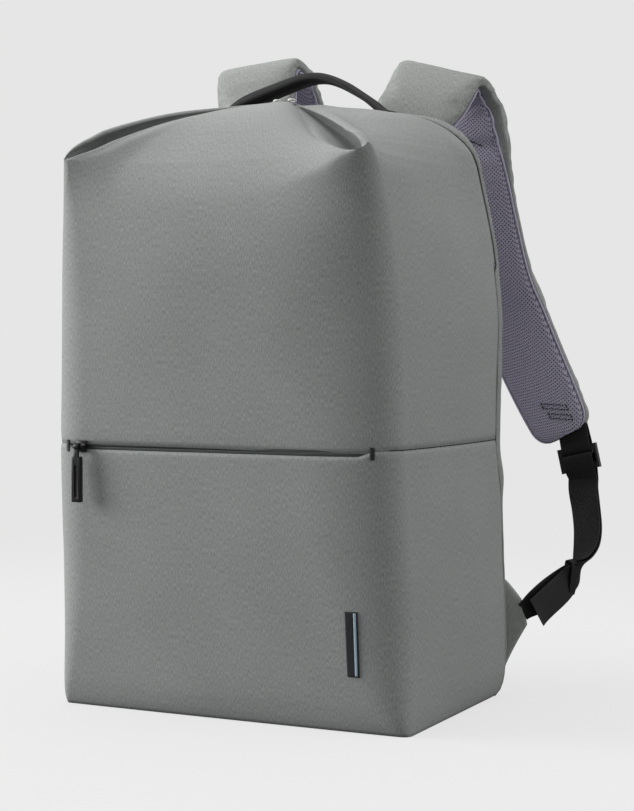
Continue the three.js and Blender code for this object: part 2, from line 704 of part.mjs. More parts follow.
// Shoulder straps: a padded cloth layer outside and a mesh layer on the wearer's side
const mirrorPoint = (p, sign) => vec(p.x * sign, p.y, p.z);
const mirrorRings = (rings, sign) => rings.map((ring) => ring.map((p) => mirrorPoint(p, sign)));

function strapFrames(side) {
  const points = STRAP_LINE.map((row) => {
    const high = smoothstep(row.z, 430, 490);
    const foot = row.y < STRAP.crest ? side.foot * (1 - high) : 0;
    return vec(row.x + side.lean * high + foot, row.y, row.z + side.lift * high);
  });
  return STRAP_LINE.map((row, i) => {
    const tilt = THREE.MathUtils.degToRad(row.tilt * side.tilt);
    const width = vec(Math.cos(tilt), 0, -Math.sin(tilt));
    return { point: points[i], row, ...frameAt(points, i, width) };
  });
}

// All faces of the two layers are split along the same diagonals, so that they stay apart where they twist.
function strapLayer(side, offset, thick, narrower) {
  const rings = strapFrames(side).map((f) => {
    const centre = f.point.clone().addScaledVector(f.over, offset(f.row.full));
    return ovalRing(centre, f.across, f.over, f.row.width - narrower, thick(f.row.full));
  });
  const other = (_, j) => j >= rings[0].length / 2;
  return ringGeometry(mirrorRings(rings, side.sign), side.sign < 0, other);
}

// A web round a bar of the ladder lock, in the lock's own frame: along is measured down the strap. away
// is where its two layers start, counted from the bar.
const lockPoint = (down, front) =>
  vec(...LOCK_CENTRE)
    .addScaledVector(vec(...LOCK_DOWN), down)
    .addScaledVector(vec(...LOCK_FRONT), front);
function turnRound(bar, towards, away) {
  const clear = LOCK.thick / 2 + GAP + WEB.thick / 2;
  const beyond = LOCK.bar / 2 + GAP + WEB.thick / 2;
  return [
    [-away / beyond, 1],
    [0.4, 1],
    [0.88, 0.9],
    [1, 0.5],
    [1, -0.5],
    [0.88, -0.9],
    [0.4, -1],
    [-away / beyond, -1],
  ].map(([reach, front]) => lockPoint(bar + towards * reach * beyond, front * clear));
}
const lockPitch = LOCK.bar + LOCK.window;

const webRing = (point, across, over) =>
  [
    [1, 1],
    [-1, 1],
    [-1, -1],
    [1, -1],
  ].map(([a, b]) =>
    point
      .clone()
      .addScaledVector(across, (a * WEB.width) / 2)
      .addScaledVector(over, (b * WEB.thick) / 2),
  );
const webRings = (points, width) =>
  points.map((point, i) => {
    const { across, over } = frameAt(points, i, width);
    return webRing(point, across, over);
  });

// The short web that holds the lock: both its ends are sewn to the end of the pad
function strapLoop(sign) {
  const start = -LOCK.bar / 2 - lockPitch - 13.3;
  const ends = [1, -1].map((front) => lockPoint(start, front * 1.4));
  const rings = webRings([ends[0], ...turnRound(-lockPitch, 1, LOCK.bar), ends[1]], vec(...LOCK_ACROSS));
  return ringGeometry(mirrorRings(rings, sign), sign < 0);
}

// The adjuster web: from its free tail up through the keeper, round the lock's middle bar and down to
// the tab. The two layers follow the same rows, and the tail's end fans away from the other layer. All
// four faces of the twisted layers are split along the same diagonals.
function adjusterWeb(sign) {
  const points = WEB_LINE.map((row) => vec(row.x, row.y, row.z));
  const layer = (way, loose) => (row, i) => {
    const { across, over } = frameAt(points, i, vec(row.wx, row.wy, row.wz));
    const away = (way * TAIL.layers) / 2 - TAIL.away * loose(i) ** 1.5;
    const point = points[i].clone().addScaledVector(over, away);
    return webRing(point.addScaledVector(across, -TAIL.drop * loose(i)), across, over.multiplyScalar(way));
  };
  const free = (i) => Math.max(i - TAIL.free, 0) / (TAIL.end - TAIL.free);
  const tail = WEB_LINE.slice(0, TAIL.end + 1).map(layer(-1, free)).reverse();
  const underLock = lockPitch + LOCK.bar / 2 + 1;
  const turn = webRings(turnRound(0, -1, underLock).reverse(), vec(...LOCK_ACROSS));
  const main = WEB_LINE.map(layer(1, () => 0));
  const rings = [...tail, ...turn, ...main];
  const other = (i, j) => j > 1 !== i < tail.length - 1;
  return ringGeometry(mirrorRings(rings, sign), sign < 0, other);
}

function ladderLock() {
  const height = 3 * LOCK.bar + 2 * LOCK.window;
  const face = rectangle(new THREE.Shape(), LOCK.width, height);
  [-1, 1].forEach((row) => {
    const windowWidth = LOCK.width - 2 * LOCK.side;
    face.holes.push(rectangle(new THREE.Path(), windowWidth, LOCK.window, 0, (row * lockPitch) / 2));
  });
  const body = plate(face, LOCK.thick).translate(0, 0, -LOCK.thick / 2);
  const up = vec(...LOCK_DOWN).negate();
  const across = vec(...LOCK_ACROSS);
  const turn = new THREE.Matrix4().makeBasis(across, up, across.clone().cross(up));
  return body.applyMatrix4(turn.setPosition(...LOCK_CENTRE));
}

function keeper() {
  const points = WEB_LINE.map((row) => vec(row.x, row.y, row.z));
  const row = WEB_LINE[TAIL.keeper];
  const frame = frameAt(points, TAIL.keeper, vec(row.wx, row.wy, row.wz));
  const inner = [WEB.width + 2.6, TAIL.layers + WEB.thick + 4.2];
  const ring = rectangle(new THREE.Shape(), inner[0] + 2.4, inner[1] + 2.4);
  ring.holes.push(rectangle(new THREE.Path(), ...inner));
  const length = 6;
  const body = plate(ring, length).translate(0, 0, -length / 2);
  const forward = frame.across.clone().cross(frame.over);
  const turn = new THREE.Matrix4().makeBasis(frame.across, frame.over, forward);
  return body.applyMatrix4(turn.setPosition(points[TAIL.keeper]));
}

function anchorTab() {
  const tip = TAB.inner + TAB.reach;
  const face = new THREE.Shape();
  face.moveTo(TAB.inner, TAB.bottom);
  face.quadraticCurveTo(tip - 2, TAB.tip - 22, tip, TAB.tip - 9);
  face.lineTo(tip, TAB.tip + 9);
  face.quadraticCurveTo(tip - 5, TAB.tip + 14, TAB.inner, TAB.top);
  face.closePath();
  const body = plate(face, TAB.thick);
  body.rotateX(Math.PI / 2);
  return body.translate(0, TAB.y + TAB.thick, 0);
}

// The mirror image of a geometry, with its faces turned back to point out
function mirrored(geometry, sign) {
  if (sign > 0) return geometry;
  const flat = geometry.index ? geometry.toNonIndexed() : geometry;
  const points = flat.getAttribute("position");
  const corner = (_, i) => vec(-points.getX(i), points.getY(i), points.getZ(i));
  const corners = Array.from({ length: points.count }, corner);
  const triangles = Array.from({ length: points.count / 3 }, (_, i) => [3 * i, 3 * i + 2, 3 * i + 1]);
  return geometryOf(corners, triangles);
}

STRAP_SIDES.forEach((side) => {
  const { name, sign } = side;
  const padThick = (full) => STRAP.pad * full;
  const meshOffset = (full) => (padThick(full) + STRAP.mesh) / 2 + STRAP.seam;
  add("strap_pad_" + name, strapLayer(side, () => 0, padThick, 0), STRAP_CLOTH);
  add("strap_mesh_" + name, strapLayer(side, meshOffset, () => STRAP.mesh, 4), MESH_CLOTH);
  add("strap_loop_" + name, strapLoop(sign), WEBBING);
  add("ladder_lock_" + name, mirrored(ladderLock(), sign), BLACK_PLASTIC);
  add("adjuster_web_" + name, adjusterWeb(sign), WEBBING);
  add("web_keeper_" + name, mirrored(keeper(), sign), WEBBING);
  add("anchor_tab_" + name, mirrored(anchorTab(), sign), STRAP_CLOTH);
});

// The origin lies on the floor, under the middle of the whole object's box
const box = new THREE.Box3().setFromObject(bag);
const centre = box.getCenter(vec(0, 0, 0));
bag.children.forEach((mesh) => mesh.position.sub(vec(centre.x, centre.y, box.min.z)));

export default bag;
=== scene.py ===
"""Dresses the grey laptop backpack: sewn cloth, padded straps, webbing, zips and label, in a pale studio."""

import math
from collections import namedtuple
from functools import lru_cache

import bmesh
import bpy
from mathutils import Matrix, Vector, noise


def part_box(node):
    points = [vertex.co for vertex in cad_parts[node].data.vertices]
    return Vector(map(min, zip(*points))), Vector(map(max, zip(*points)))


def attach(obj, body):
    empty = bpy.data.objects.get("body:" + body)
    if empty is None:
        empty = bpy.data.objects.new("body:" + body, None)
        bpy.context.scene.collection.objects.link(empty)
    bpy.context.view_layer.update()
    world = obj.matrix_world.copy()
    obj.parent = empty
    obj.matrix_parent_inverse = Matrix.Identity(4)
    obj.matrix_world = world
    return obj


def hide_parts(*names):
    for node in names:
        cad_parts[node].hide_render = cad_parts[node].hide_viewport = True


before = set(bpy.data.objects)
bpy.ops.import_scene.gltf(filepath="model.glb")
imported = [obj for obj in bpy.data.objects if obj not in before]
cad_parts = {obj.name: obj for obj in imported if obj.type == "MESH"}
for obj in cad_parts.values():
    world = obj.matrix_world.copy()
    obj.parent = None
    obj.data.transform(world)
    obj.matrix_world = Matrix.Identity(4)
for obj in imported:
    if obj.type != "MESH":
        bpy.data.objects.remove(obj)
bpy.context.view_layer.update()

# Sizes in millimetres, in the bag's own frame: x to the right seen from the front, y to the back from the
# back plane, z up from the floor
MM = 0.001
BASE_REAR_GAP = 0.6  # the base panel ends this far in front of the back plane
BACK_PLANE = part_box("base_panel")[1].y / MM + BASE_REAR_GAP
CLOTH = 2.0
FOLD_CLOTH = 1.1  # the upper wrap, thin enough for its folds
RUMPLE_SIZE, RUMPLE_DEPTH = 75.0, 0.9  # slow swells of the wrap's cloth
CORNER_TOP = 415.0  # height of the front top corners
FOLD_SPAN = 100.0  # levels above the corners count the share of the fold
TOP = CORNER_TOP + FOLD_SPAN
SIDE_END = 3.0  # place of the wrap's rear edge
POCKET_LINE = 200.0
POCKET_OPENING = 4.6
POCKET_EDGE_GAP = 0.6
POCKET_ENDS = (-1.25, 1.53)  # places along the wrap
POCKET_COVER, POCKET_COVER_MORE = 0.9, 1.7  # the upper hem over the zip, and what it adds towards the right
HEM_ROLL = 0.7  # the hems at the pocket turn in by this much
TOP_ZIP_OPENING = 5.6
TOP_ZIP_START = 338.0
TOP_ZIP_RUN_IN = 8.0  # the slit opens over this height
SEAM_SLIT = 0.6  # below the zip
ZIP_COVER = 3.4  # the wrap's hem lies this far over the top zip
BAND_DEPTH, BAND_ZIP_DEPTH = 10.0, 1.6  # the second is added beside the top zip
LOW_BAND_DEPTH, LOW_TURN_IN = 3.5, 2.5  # the lower band is narrow and turns in behind the wrap
BAND_WIDENS = (148.0, 205.0)  # heights between the lower band and the full one
EDGE_OUT = 0.5  # the wrap's rear edge stands outside the band by this much
LEAN_FROM, LEAN_REACH, LEAN_FORWARD = 370.0, 92.0, 24.0  # the back leans forward above the first height


def table(columns, rows):
    names = ["row", *columns.split()]
    return [dict(zip(names, (i, *row))) for i, row in enumerate(rows)]


# The wrap's wall, a row for each height. The right front corner lies further in and turns wider, more on the
# front than on the side.
WALL = table("z half right_in depth round round_front round_side back front_in front_down side_out", [
    (0, 146.6, 1.6, 180.5, 5, 8, 8, 136, -1, 0, 0),
    (4, 147, 1.7, 182.8, 6, 12, 11, 139.5, -1.1, 0, 0.3),
    (10, 147.3, 1.9, 184.8, 8, 17, 14, 142.5, -1.3, 0, 0.7),
    (22, 147.8, 2.8, 187.2, 13, 27, 18, 145, -1.6, 0, 1.4),
    (60, 149, 5, 191.4, 24, 46, 24, 145.5, -2, 0, 2.5),
    (110, 150, 7, 196.5, 32, 60, 27, 143.5, -2.2, 0, 3.5),
    (150, 150, 8, 200, 35, 68, 28, 142, -2.2, 0, 4),
    (200, 148.5, 8, 203, 36, 76, 29, 139.5, -2, 0, 4),
    (250, 146, 7, 206, 36, 90, 31, 140.5, -2, 0, 4),
    (300, 142, 5, 209, 33, 100, 32, 141, -2, 0, 3.5),
    (350, 137, 3, 211, 26, 94, 30, 135.5, -1, 0.5, 2),
    (390, 131, 1, 211.5, 14, 60, 22, 128, 4.5, 2, -0.5),
    (415, 127, 0, 211, 5, 18, 12, 124.5, 14, 4, -2.5),
])
# The top facet between the two folds, a row for each share of the way from the front corners to the top zip
FACET = table("t z front_in front_up side_out", [
    (0, 415, 14, -4, -2.5),
    (0.04, 417.4, 12.9, -1.2, -1.3),
    (0.1, 421, 11.5, 3, 1),
    (0.17, 426.5, 12, 6, 2.5),
    (0.35, 438.5, 11, 8.5, 2),
    (0.5, 446.5, 9.5, 7, 1),
    (0.7, 455, 6.5, 4.5, 0),
    (0.85, 460.3, 3, 2.5, 0),
    (1, 464.5, -0.3, 0.2, 0),
])
# The fold on each side at these shares. sag is how far the front rim of its mouth hangs down, or lifts where
# it is negative; the right fold hangs lower.
FOLD_COLUMNS = "t z side_up front_zone zone valley lip ridge sag"
FOLDS = {
    -1: table(FOLD_COLUMNS, [
        (0, 415, -1, 5, 5, 0, 0, 0, 1),
        (0.02, 416.2, -0.6, 8, 8, 5, 4.4, 0.6, 1),
        (0.04, 417.4, -0.2, 11, 11, 9.5, 7, 1.2, 0.8),
        (0.07, 419.2, 0.6, 14, 14, 11.5, 9.2, 1.3, 0.3),
        (0.1, 421, 1.5, 16, 16, 12.5, 10.4, 1.2, -0.6),
        (0.17, 426.5, 2.5, 18, 18, 12.5, 11.6, 0.8, -2),
        (0.35, 438.5, 4, 18, 18, 10, 9.5, 0, -3),
        (0.5, 446.5, 4, 16, 16, 7, 7, 0, -2.4),
        (0.7, 455, 3, 11, 11, 3.5, 3, 0, -1.2),
        (0.85, 460.3, 1.5, 7, 7, 1.4, 1.2, 0, -0.4),
        (1, 464.5, 0, 3, 3, 0, 0, 0, 0),
    ]),
    1: table(FOLD_COLUMNS, [
        (0, 415, -1, 18, 12, 0, 0.8, 0, 4.5),
        (0.015, 415.9, -0.8, 21, 13.5, 2.5, 1.5, 0.4, 4.5),
        (0.03, 416.9, -0.6, 24, 15, 8, 2.1, 0.6, 4.5),
        (0.05, 418.2, -0.3, 26, 16, 12.5, 2.7, 0.6, 4.5),
        (0.08, 420, 0.2, 27.5, 17.5, 14, 3.2, 0.5, 4.5),
        (0.12, 422.2, 0.6, 28, 18, 14, 3.6, 0.4, 4.2),
        (0.17, 424.3, 1, 28, 18, 13.5, 3.6, 0.2, 3.4),
        (0.35, 433, 1.5, 26, 18, 11, 3.4, 0, 0),
        (0.5, 440.4, 1.5, 21, 16, 8, 3.5, 0, 0),
        (0.7, 449.5, 0.5, 13, 11, 4.5, 2.5, 0, 0),
        (0.85, 455.7, 0, 7, 7, 1.8, 1.2, 0, 0),
        (1, 462, 0, 3, 3, 0, 0, 0, 0),
    ]),
}
FOLD_CORNER = Vector((127, -211))
FOLD_ENDS = {-1: Vector((11, -74)), 1: Vector((-3, -74))}
RIM_START = {-1: 0.4, 1: 0.55}  # place on the front where the rim begins to hang down
RIM_END = (0.3, 0.72)  # shares of the corner zone over which the hang ends
CORNER_SHARE = 0.4  # the corner zone takes this share of the side at most
FLAT_FROM, SAG_FROM, LIP_FROM = 370.0, 385.0, 403.0  # the bulge draws in, the rim sags, the lip rises
UNDERCUT = (0.02, 0.16)  # shares over which the hollow under the flap deepens
FACET_END = -7.0  # the facet's middle leans to the left towards the top zip
# The rolled bends at the height of the corners: the roll, the distances from the bend over which it fades,
# and the places along the wrap where it starts and ends
FRONT_ROLL, FRONT_ROLL_FADE, FRONT_ROLL_END = 36.0, (8, 62), {-1: (0.7, 0.98), 1: (0.55, 1.35)}
SIDE_ROLL, SIDE_ROLL_FADE, SIDE_ROLL_START, SIDE_ROLL_END = 30.0, (4, 52), (1.75, 2.15), (2.8, SIDE_END)
LEAST_ROLL = 0.5
ROLL_WEIGHTS = ((-1, 1), (-0.5, 2), (0, 3), (0.3, 2), (0.6, 1))  # shares of the roll, each with its weight
# The top zip and the back edge over the shoulder, at the same shares
SHOULDER = table("t zip_x zip_y zip_z back_x back_z right_down", [
    (0, 125, -17.4, 415, 124.5, 415, 0),
    (0.1, 122.5, -22, 425, 122.5, 424, 0.3),
    (0.2, 117.5, -28.5, 434, 119.5, 433, 1),
    (0.35, 106.5, -38, 445.3, 111, 444, 2),
    (0.5, 91, -48, 453.6, 97.5, 453, 3),
    (0.7, 60, -60, 460.6, 64, 459.5, 4),
    (0.85, 33, -68.5, 463.3, 34, 461.6, 3.8),
    (1, 18, -72.6, 464.3, 18, 462.4, 2.5),
])
# Cross section of each pleat from the front facet to the flap: the cloth dips, sharply on the left and in a
# wide scoop on the right, runs back under the flap and comes round its rolled lip, which leans out over the
# facet. ridge is the low swell of cloth in front of the dip.
PLEAT_COLUMNS = "q dip under rise reach ridge"
PLEATS = {
    -1: table(PLEAT_COLUMNS, [
        (0, 0, 0, 0, 0, 0),
        (0.08, -0.02, 0, 0, 0, 0.7),
        (0.16, 0, 0.03, 0, 0, 1),
        (0.24, 0.16, 0.07, 0, 0, 0.55),
        (0.32, 0.55, 0.13, 0, 0, 0.1),
        (0.4, 0.85, 0.27, 0, 0, 0),
        (0.47, 0.62, 0.43, 0, 0, 0),
        (0.53, 0.15, 0.42, 0.12, 0.02, 0),
        (0.58, 0, 0.25, 0.4, 0.15, 0),
        (0.63, 0, 0.05, 0.6, 0.45, 0),
        (0.67, 0, 0, 0.7, 0.66, 0),
        (0.71, 0, 0, 0.84, 0.74, 0),
        (0.75, 0, 0, 0.97, 0.7, 0),
        (0.79, 0, 0, 1.03, 0.55, 0),
        (0.85, 0, 0, 0.98, 0.33, 0),
        (0.92, 0, 0, 0.6, 0.14, 0),
        (1, 0, 0, 0, 0, 0),
    ]),
    1: table(PLEAT_COLUMNS, [
        (0, 0, 0, 0, 0, 0),
        (0.08, 0.04, 0, 0, 0, 0.7),
        (0.16, 0.15, 0.04, 0, 0, 1),
        (0.24, 0.34, 0.12, 0, 0, 0.55),
        (0.32, 0.58, 0.3, 0, 0, 0.1),
        (0.4, 0.84, 0.6, 0, 0, 0),
        (0.46, 0.97, 0.9, 0, 0, 0),
        (0.51, 0.88, 1, 0, 0, 0),
        (0.56, 0.62, 0.8, 0, 0, 0),
        (0.6, 0.36, 0.5, 0.05, 0.15, 0),
        (0.64, 0.12, 0.2, 0.25, 0.8, 0),
        (0.67, 0.02, 0.05, 0.5, 1.4, 0),
        (0.71, 0, 0, 0.74, 1.6, 0),
        (0.75, 0, 0, 0.93, 1.38, 0),
        (0.79, 0, 0, 1.02, 1, 0),
        (0.85, 0, 0, 0.94, 0.54, 0),
        (0.92, 0, 0, 0.55, 0.2, 0),
        (1, 0, 0, 0, 0, 0),
    ]),
}
LIP_UP = Vector((0.2, -0.35, 0.9))
LIP_OUT = Vector((-0.74, -0.67, 0))

# A right shoulder strap from its seam on the back panel, over the shoulder and down to its end
STRAP_LINE = table("x y z width tilt full", [
    (72, 4, 420, 60, 0, 0.4),
    (72, 0.6, 436, 63, 2, 0.9),
    (72.5, 0, 450, 66, 6, 1),
    (73.5, 5, 464, 69, 11, 1),
    (75, 12, 476, 72, 13, 1),
    (76.3, 19.5, 487.5, 73, 14, 1),
    (77.5, 28.5, 497, 73, 14.5, 1),
    (78.5, 37, 501, 73, 14.5, 1),
    (78.5, 46, 497, 73, 14.5, 1),
    (78, 55.5, 484.5, 73, 13, 1),
    (79.3, 63, 466, 72, 9, 1),
    (82.5, 65, 445, 70, 6, 1),
    (87.5, 70, 415, 67, 2, 1),
    (93, 76, 378, 65, 0, 1),
    (105, 80, 328, 63, 0, 1),
    (118, 84, 296, 61, 0, 1),
    (133, 86, 263, 58, 0, 1),
    (148, 86.5, 232, 55, 0, 1),
    (160, 86, 208, 50, 0, 0.85),
    (163.3, 86, 201.5, 44, 0, 0.6),
])
# What each strap adds to that line: lift, lean and share of the tilt at its crest, foot at its seam, and a
# bow of its rising part
STRAP_SIDES = table("name sign lift tilt lean foot bow", [
    ("right", 1, -6, 1, -5, -19, 0),
    ("left", -1, 8, 0.35, 16, 6, 8),
])
STRAP_ROWS = 160
STRAP_CREST = 30.0  # rows in front of this y lie before the crest
STRAP_BEND = (430.0, 490.0)  # heights over which a strap's own lift and lean set in
STRAP_BOW_FROM, STRAP_BOW_SPAN = 436.0, 60.0
STRAP_CLOTH, STRAP_FOAM, STRAP_MESH = 5.0, 4.6, 2.0  # outer bulge, inner half and the mesh layer
STRAP_END_ROUND, STRAP_END_NARROW = 15.0, 1.1
STRAP_SEAM, STRAP_SEWN_ROWS = 0.8, 3  # the seams hold the cloth above this depth, and the rows at both ends
# Spans along a strap, in millimetres past its crest: where a form sets in and where it ends
FLARE_SPAN = (0, 18), (45, 105)
PUCKER_SPAN = (-20, 5), (70, 130)
TUCK_SPAN = (-16, 6), (60, 120)
FLARE_INNER, FLARE_OUTER = 6.0, 4.0
PUCKER_DEPTH, PUCKER_LENGTH = 1.4, 7.0
MESH_MARGIN, MESH_TUCK_INNER, MESH_TUCK_OUTER = 2.0, 0.5, 3.5  # the mesh ends inside the pad's edge
MESH_WAVE, MESH_WAVE_LENGTH = 1.5, 6.0
MESH_LIFT, MESH_CROWN, MESH_EDGE_DROP, MESH_CREASE = 1.0, 1.0, 1.6, 3.2
MESH_CREASES = table("past slant wide", [(18, 6, 5), (42, 9, 5.5), (70, -6, 6)])
BINDING_RADIUS, BINDING_OUT, BINDING_LIFT = 0.9, 0.5, 1.6
# Slanting boxes of stitches near a strap's end, each with its distances from the end and its steps aside
STITCH_BOXES = ((24.5, 28.7, -5.5, 13), (15.6, 19.8, -3.5, 13))
BOX_SLANT, BOX_PITCH = 0.55, 2.6
MESH_SEAM_ASIDE, MESH_SEAM_PAST, MESH_SEAM_PITCH = (-8, 15), (54, 72), 1.3
STITCH_LENGTH, STITCH_WIDTH, STITCH_LIFT = 2.3, 1.0, 0.3

# The adjuster web of a right strap, from the ladder lock down to its tab; wx, wy, wz is the web's width
WEB_LINE = table("x y z wx wy wz", [
    (177.7, 86, 166.7, 0.975, 0, 0.22),
    (178.4, 84.2, 158, 0.97, -0.05, 0.15),
    (182.5, 79, 143.6, 0.97, -0.25, 0.05),
    (187, 71, 128.2, 0.95, -0.32, 0),
    (189.5, 62, 115.5, 0.9, -0.35, 0.15),
    (189.3, 54, 105.5, 0.75, -0.3, 0.55),
    (187.2, 48, 97.8, 0.4, -0.3, 0.85),
    (183, 41, 91.3, 0.1, -0.3, 0.93),
    (176.3, 32, 84.3, -0.05, -0.2, 0.97),
    (164, 14, 72.6, 0, -0.1, 0.98),
    (157.4, 6.2, 66.4, 0, 0, 1),
])
WEB_WIDTH, WEB_THICK = 25.0, 1.6
WEB_SLACK = 0.9  # how loosely a web lies round its bar
WEB_LAYERS = 2.8
TAIL_DROP, TAIL_AWAY, TAIL_FREE, TAIL_END = 4.0, 6.0, 7, 9.4
KEEPER_ROW, KEEPER_SKEW = 7, 0.6
LOCK_CENTRE = Vector((174, 86, 183.2))
LOCK_DOWN = Vector((0.22, 0, -0.975))
LOCK_ACROSS = Vector((0.975, 0, 0.22))
LOCK_FRONT = Vector((0, -1, 0))
LOCK_BAR, LOCK_WINDOW, LOCK_THICK = 3.6, 4.6, 5.0
LOCK_PITCH = LOCK_BAR + LOCK_WINDOW
GAP = 0.3
WEB_STEPS = 8  # stations for each row of the web's line
WEB_GATHER = 0.4  # share of its width that the web loses at the tab
LOOP_LENGTH, LOOP_SPREAD = 20.0, 1.4
KEEPER_ROOM, KEEPER_HALF_DEPTH, KEEPER_HALF_WIDTH = 2.0, 4.2, 3.4
TAB_TOP, TAB_BOTTOM, TAB_TIP = 92.0, 20.0, 60.0  # heights at the seam and at the tip
TAB_TIP_DOWN, TAB_TIP_UP = 4.0, 17.0  # the blunt tip, below and above its height
TAB_INNER, TAB_REACH, TAB_SLANT = 142.0, 17.5, 0.3  # the upper edge reaches less far by the last share
TAB_Y, TAB_THICK, TAB_THINNED = 0.35, 6.0, 0.75
TAB_LEAN = 4.0  # the tab turns back towards its tip
HANDLE_Y, HANDLE_WIDTH, HANDLE_THICK, HANDLE_FOOT = -47.0, 22.0, 9.0, 3.2
HANDLE_SEAM_DEPTH, HANDLE_SEAM, HANDLE_SEAM_WIDTH = 0.8, 0.62, 1 / 30  # shares of the way round the roll
HANDLE_ARCH = table("x z roll", [
    (-80, 459.5, 0.5),
    (-71, 464, 1),
    (-62, 469, 1.25),
    (-50, 473.2, 1.35),
    (-35, 477.6, 1.3),
    (-21.7, 481.4, 1.2),
    (-8, 484.9, 1.1),
    (3.5, 485.7, 0.95),
    (14, 484, 0.75),
    (27.3, 478.6, 0.45),
    (40, 471.3, 0.15),
    (50, 465, 0),
    (60, 457.5, 0),
    (70, 454.5, 0),
])
LABEL_X, LABEL_Z, LABEL_WIDTH, LABEL_HEIGHT = 107.0, 65.0, 9.6, 47.0
STRIPE_WIDTH, STRIPE_MARGIN = 1.9, 1.1

PAPER_WHITE, PAPER_GLOW = 0.79, 0.68  # the backdrop's brightness, and the floor's own glow near the bag
PAPER_BOUNCE = 0.08  # the part of the glow that lights the bag
AIR_LIGHT = 0.44

# The picture's camera
CAMERA_PLACE = Vector((711.5, -1403.1, 278.6))
CAMERA_YAW, CAMERA_PITCH = math.radians(27.6), math.radians(1.91)
FOCAL_PIXELS, PICTURE_HEIGHT, SENSOR = 1929.0, 811.0, 36.0

# Stations along a band, a line of webbing and a strap
BandStation = namedtuple("BandStation", "edge front back")
Station = namedtuple("Station", "point across over along")
WebStation = namedtuple("WebStation", "point across over gathered", defaults=(1,))
StrapStation = namedtuple("StrapStation", "point across over along width full rest past")


def lerp(a, b, share):
    return a + (b - a) * share


def clamp(value, low=0.0, high=1.0):
    return max(low, min(high, value))


def ease(value, low, high):
    share = clamp((value - low) / (high - low))
    return share * share * (3 - 2 * share)


def between(value, rise, fall):
    """Rises from 0 to 1 over one span and falls back to 0 over another."""
    return ease(value, *rise) * (1 - ease(value, *fall))


def bell(value, middle, width):
    return math.exp(-(((value - middle) / width) ** 2))


def neighbours(line, i):
    """What comes before and after an item of a line; an end is its own neighbour."""
    return line[max(i - 1, 0)], line[min(i + 1, len(line) - 1)]


def at(rows, key, column, value):
    """A column of a table at any value of its key, on a smooth curve through the rows."""
    i = 0
    while i < len(rows) - 2 and value > rows[i + 1][key]:
        i += 1

    def slope(k):
        before, after = neighbours(rows, k)
        return (after[column] - before[column]) / (after[key] - before[key])

    start, end = rows[i], rows[i + 1]
    span = end[key] - start[key]
    s = clamp((value - start[key]) / span)
    rise = 3 * s * s - 2 * s**3
    return (
        lerp(start[column], end[column], rise)
        + (s**3 - 2 * s * s + s) * span * slope(i)
        + (s**3 - s * s) * span * slope(i + 1)
    )


def row_at(rows, key, value):
    """All columns of a table at any value of its key."""
    return {column: at(rows, key, column, value) for column in rows[0] if column not in ("row", key)}


# The wrap's surface


def back_lean(z):
    return -LEAN_FORWARD * (max(z - LEAN_FROM, 0) / LEAN_REACH) ** 2


@lru_cache(maxsize=None)
def guides(level, sign):
    """The middle of the front, the corner or fold and the edge at the top zip, with the pleat's sizes."""
    right = sign > 0
    if level <= CORNER_TOP:
        wall = row_at(WALL, "z", level)
        mouth = FOLDS[sign][0]
        edge_depth = lerp(LOW_BAND_DEPTH, BAND_DEPTH, ease(level, *BAND_WIDENS))
        edge_depth += BAND_ZIP_DEPTH * ease(level, TOP_ZIP_START, CORNER_TOP)
        front_zone = wall["round_front"] if right else wall["round"]
        half = wall["half"] - (wall["right_in"] if right else 0)
        return {
            "middle": Vector((0, wall["front_in"] - wall["depth"], level - wall["front_down"])),
            "corner": Vector((sign * half, -wall["depth"], level)),
            "edge": Vector((sign * (wall["back"] + EDGE_OUT), back_lean(level) - edge_depth, level)),
            "swell": Vector((sign * wall["side_out"], 0, 0)),
            "zone": wall["round_side"] if right else wall["round"],
            "front_zone": front_zone,
            "bulge_end": half - front_zone * ease(level, FLAT_FROM, CORNER_TOP),
            "lip": mouth["lip"] * ease(level, LIP_FROM, CORNER_TOP),
            "sag": mouth["sag"] * ease(level, SAG_FROM, CORNER_TOP),
            "valley": 0,
            "under": 0,
            "ridge": 0,
        }
    t = (level - CORNER_TOP) / FOLD_SPAN
    facet = row_at(FACET, "t", t)
    fold = row_at(FOLDS[sign], "t", t)
    shoulder = row_at(SHOULDER, "t", t)
    down = shoulder["right_down"] if right else 0
    plan = FOLD_CORNER.lerp(FOLD_ENDS[sign], t)
    return {
        **fold,
        "middle": Vector((FACET_END * t, plan.y + facet["front_in"], facet["z"] + facet["front_up"])),
        "corner": Vector((sign * plan.x, plan.y, fold["z"])),
        "edge": Vector((sign * shoulder["zip_x"], shoulder["zip_y"], shoulder["zip_z"] - down)),
        "swell": Vector((sign * facet["side_out"], 0, fold["side_up"])),
        "bulge_end": plan.x - fold["front_zone"],
        "under": fold["valley"] * ease(t, *UNDERCUT),
    }


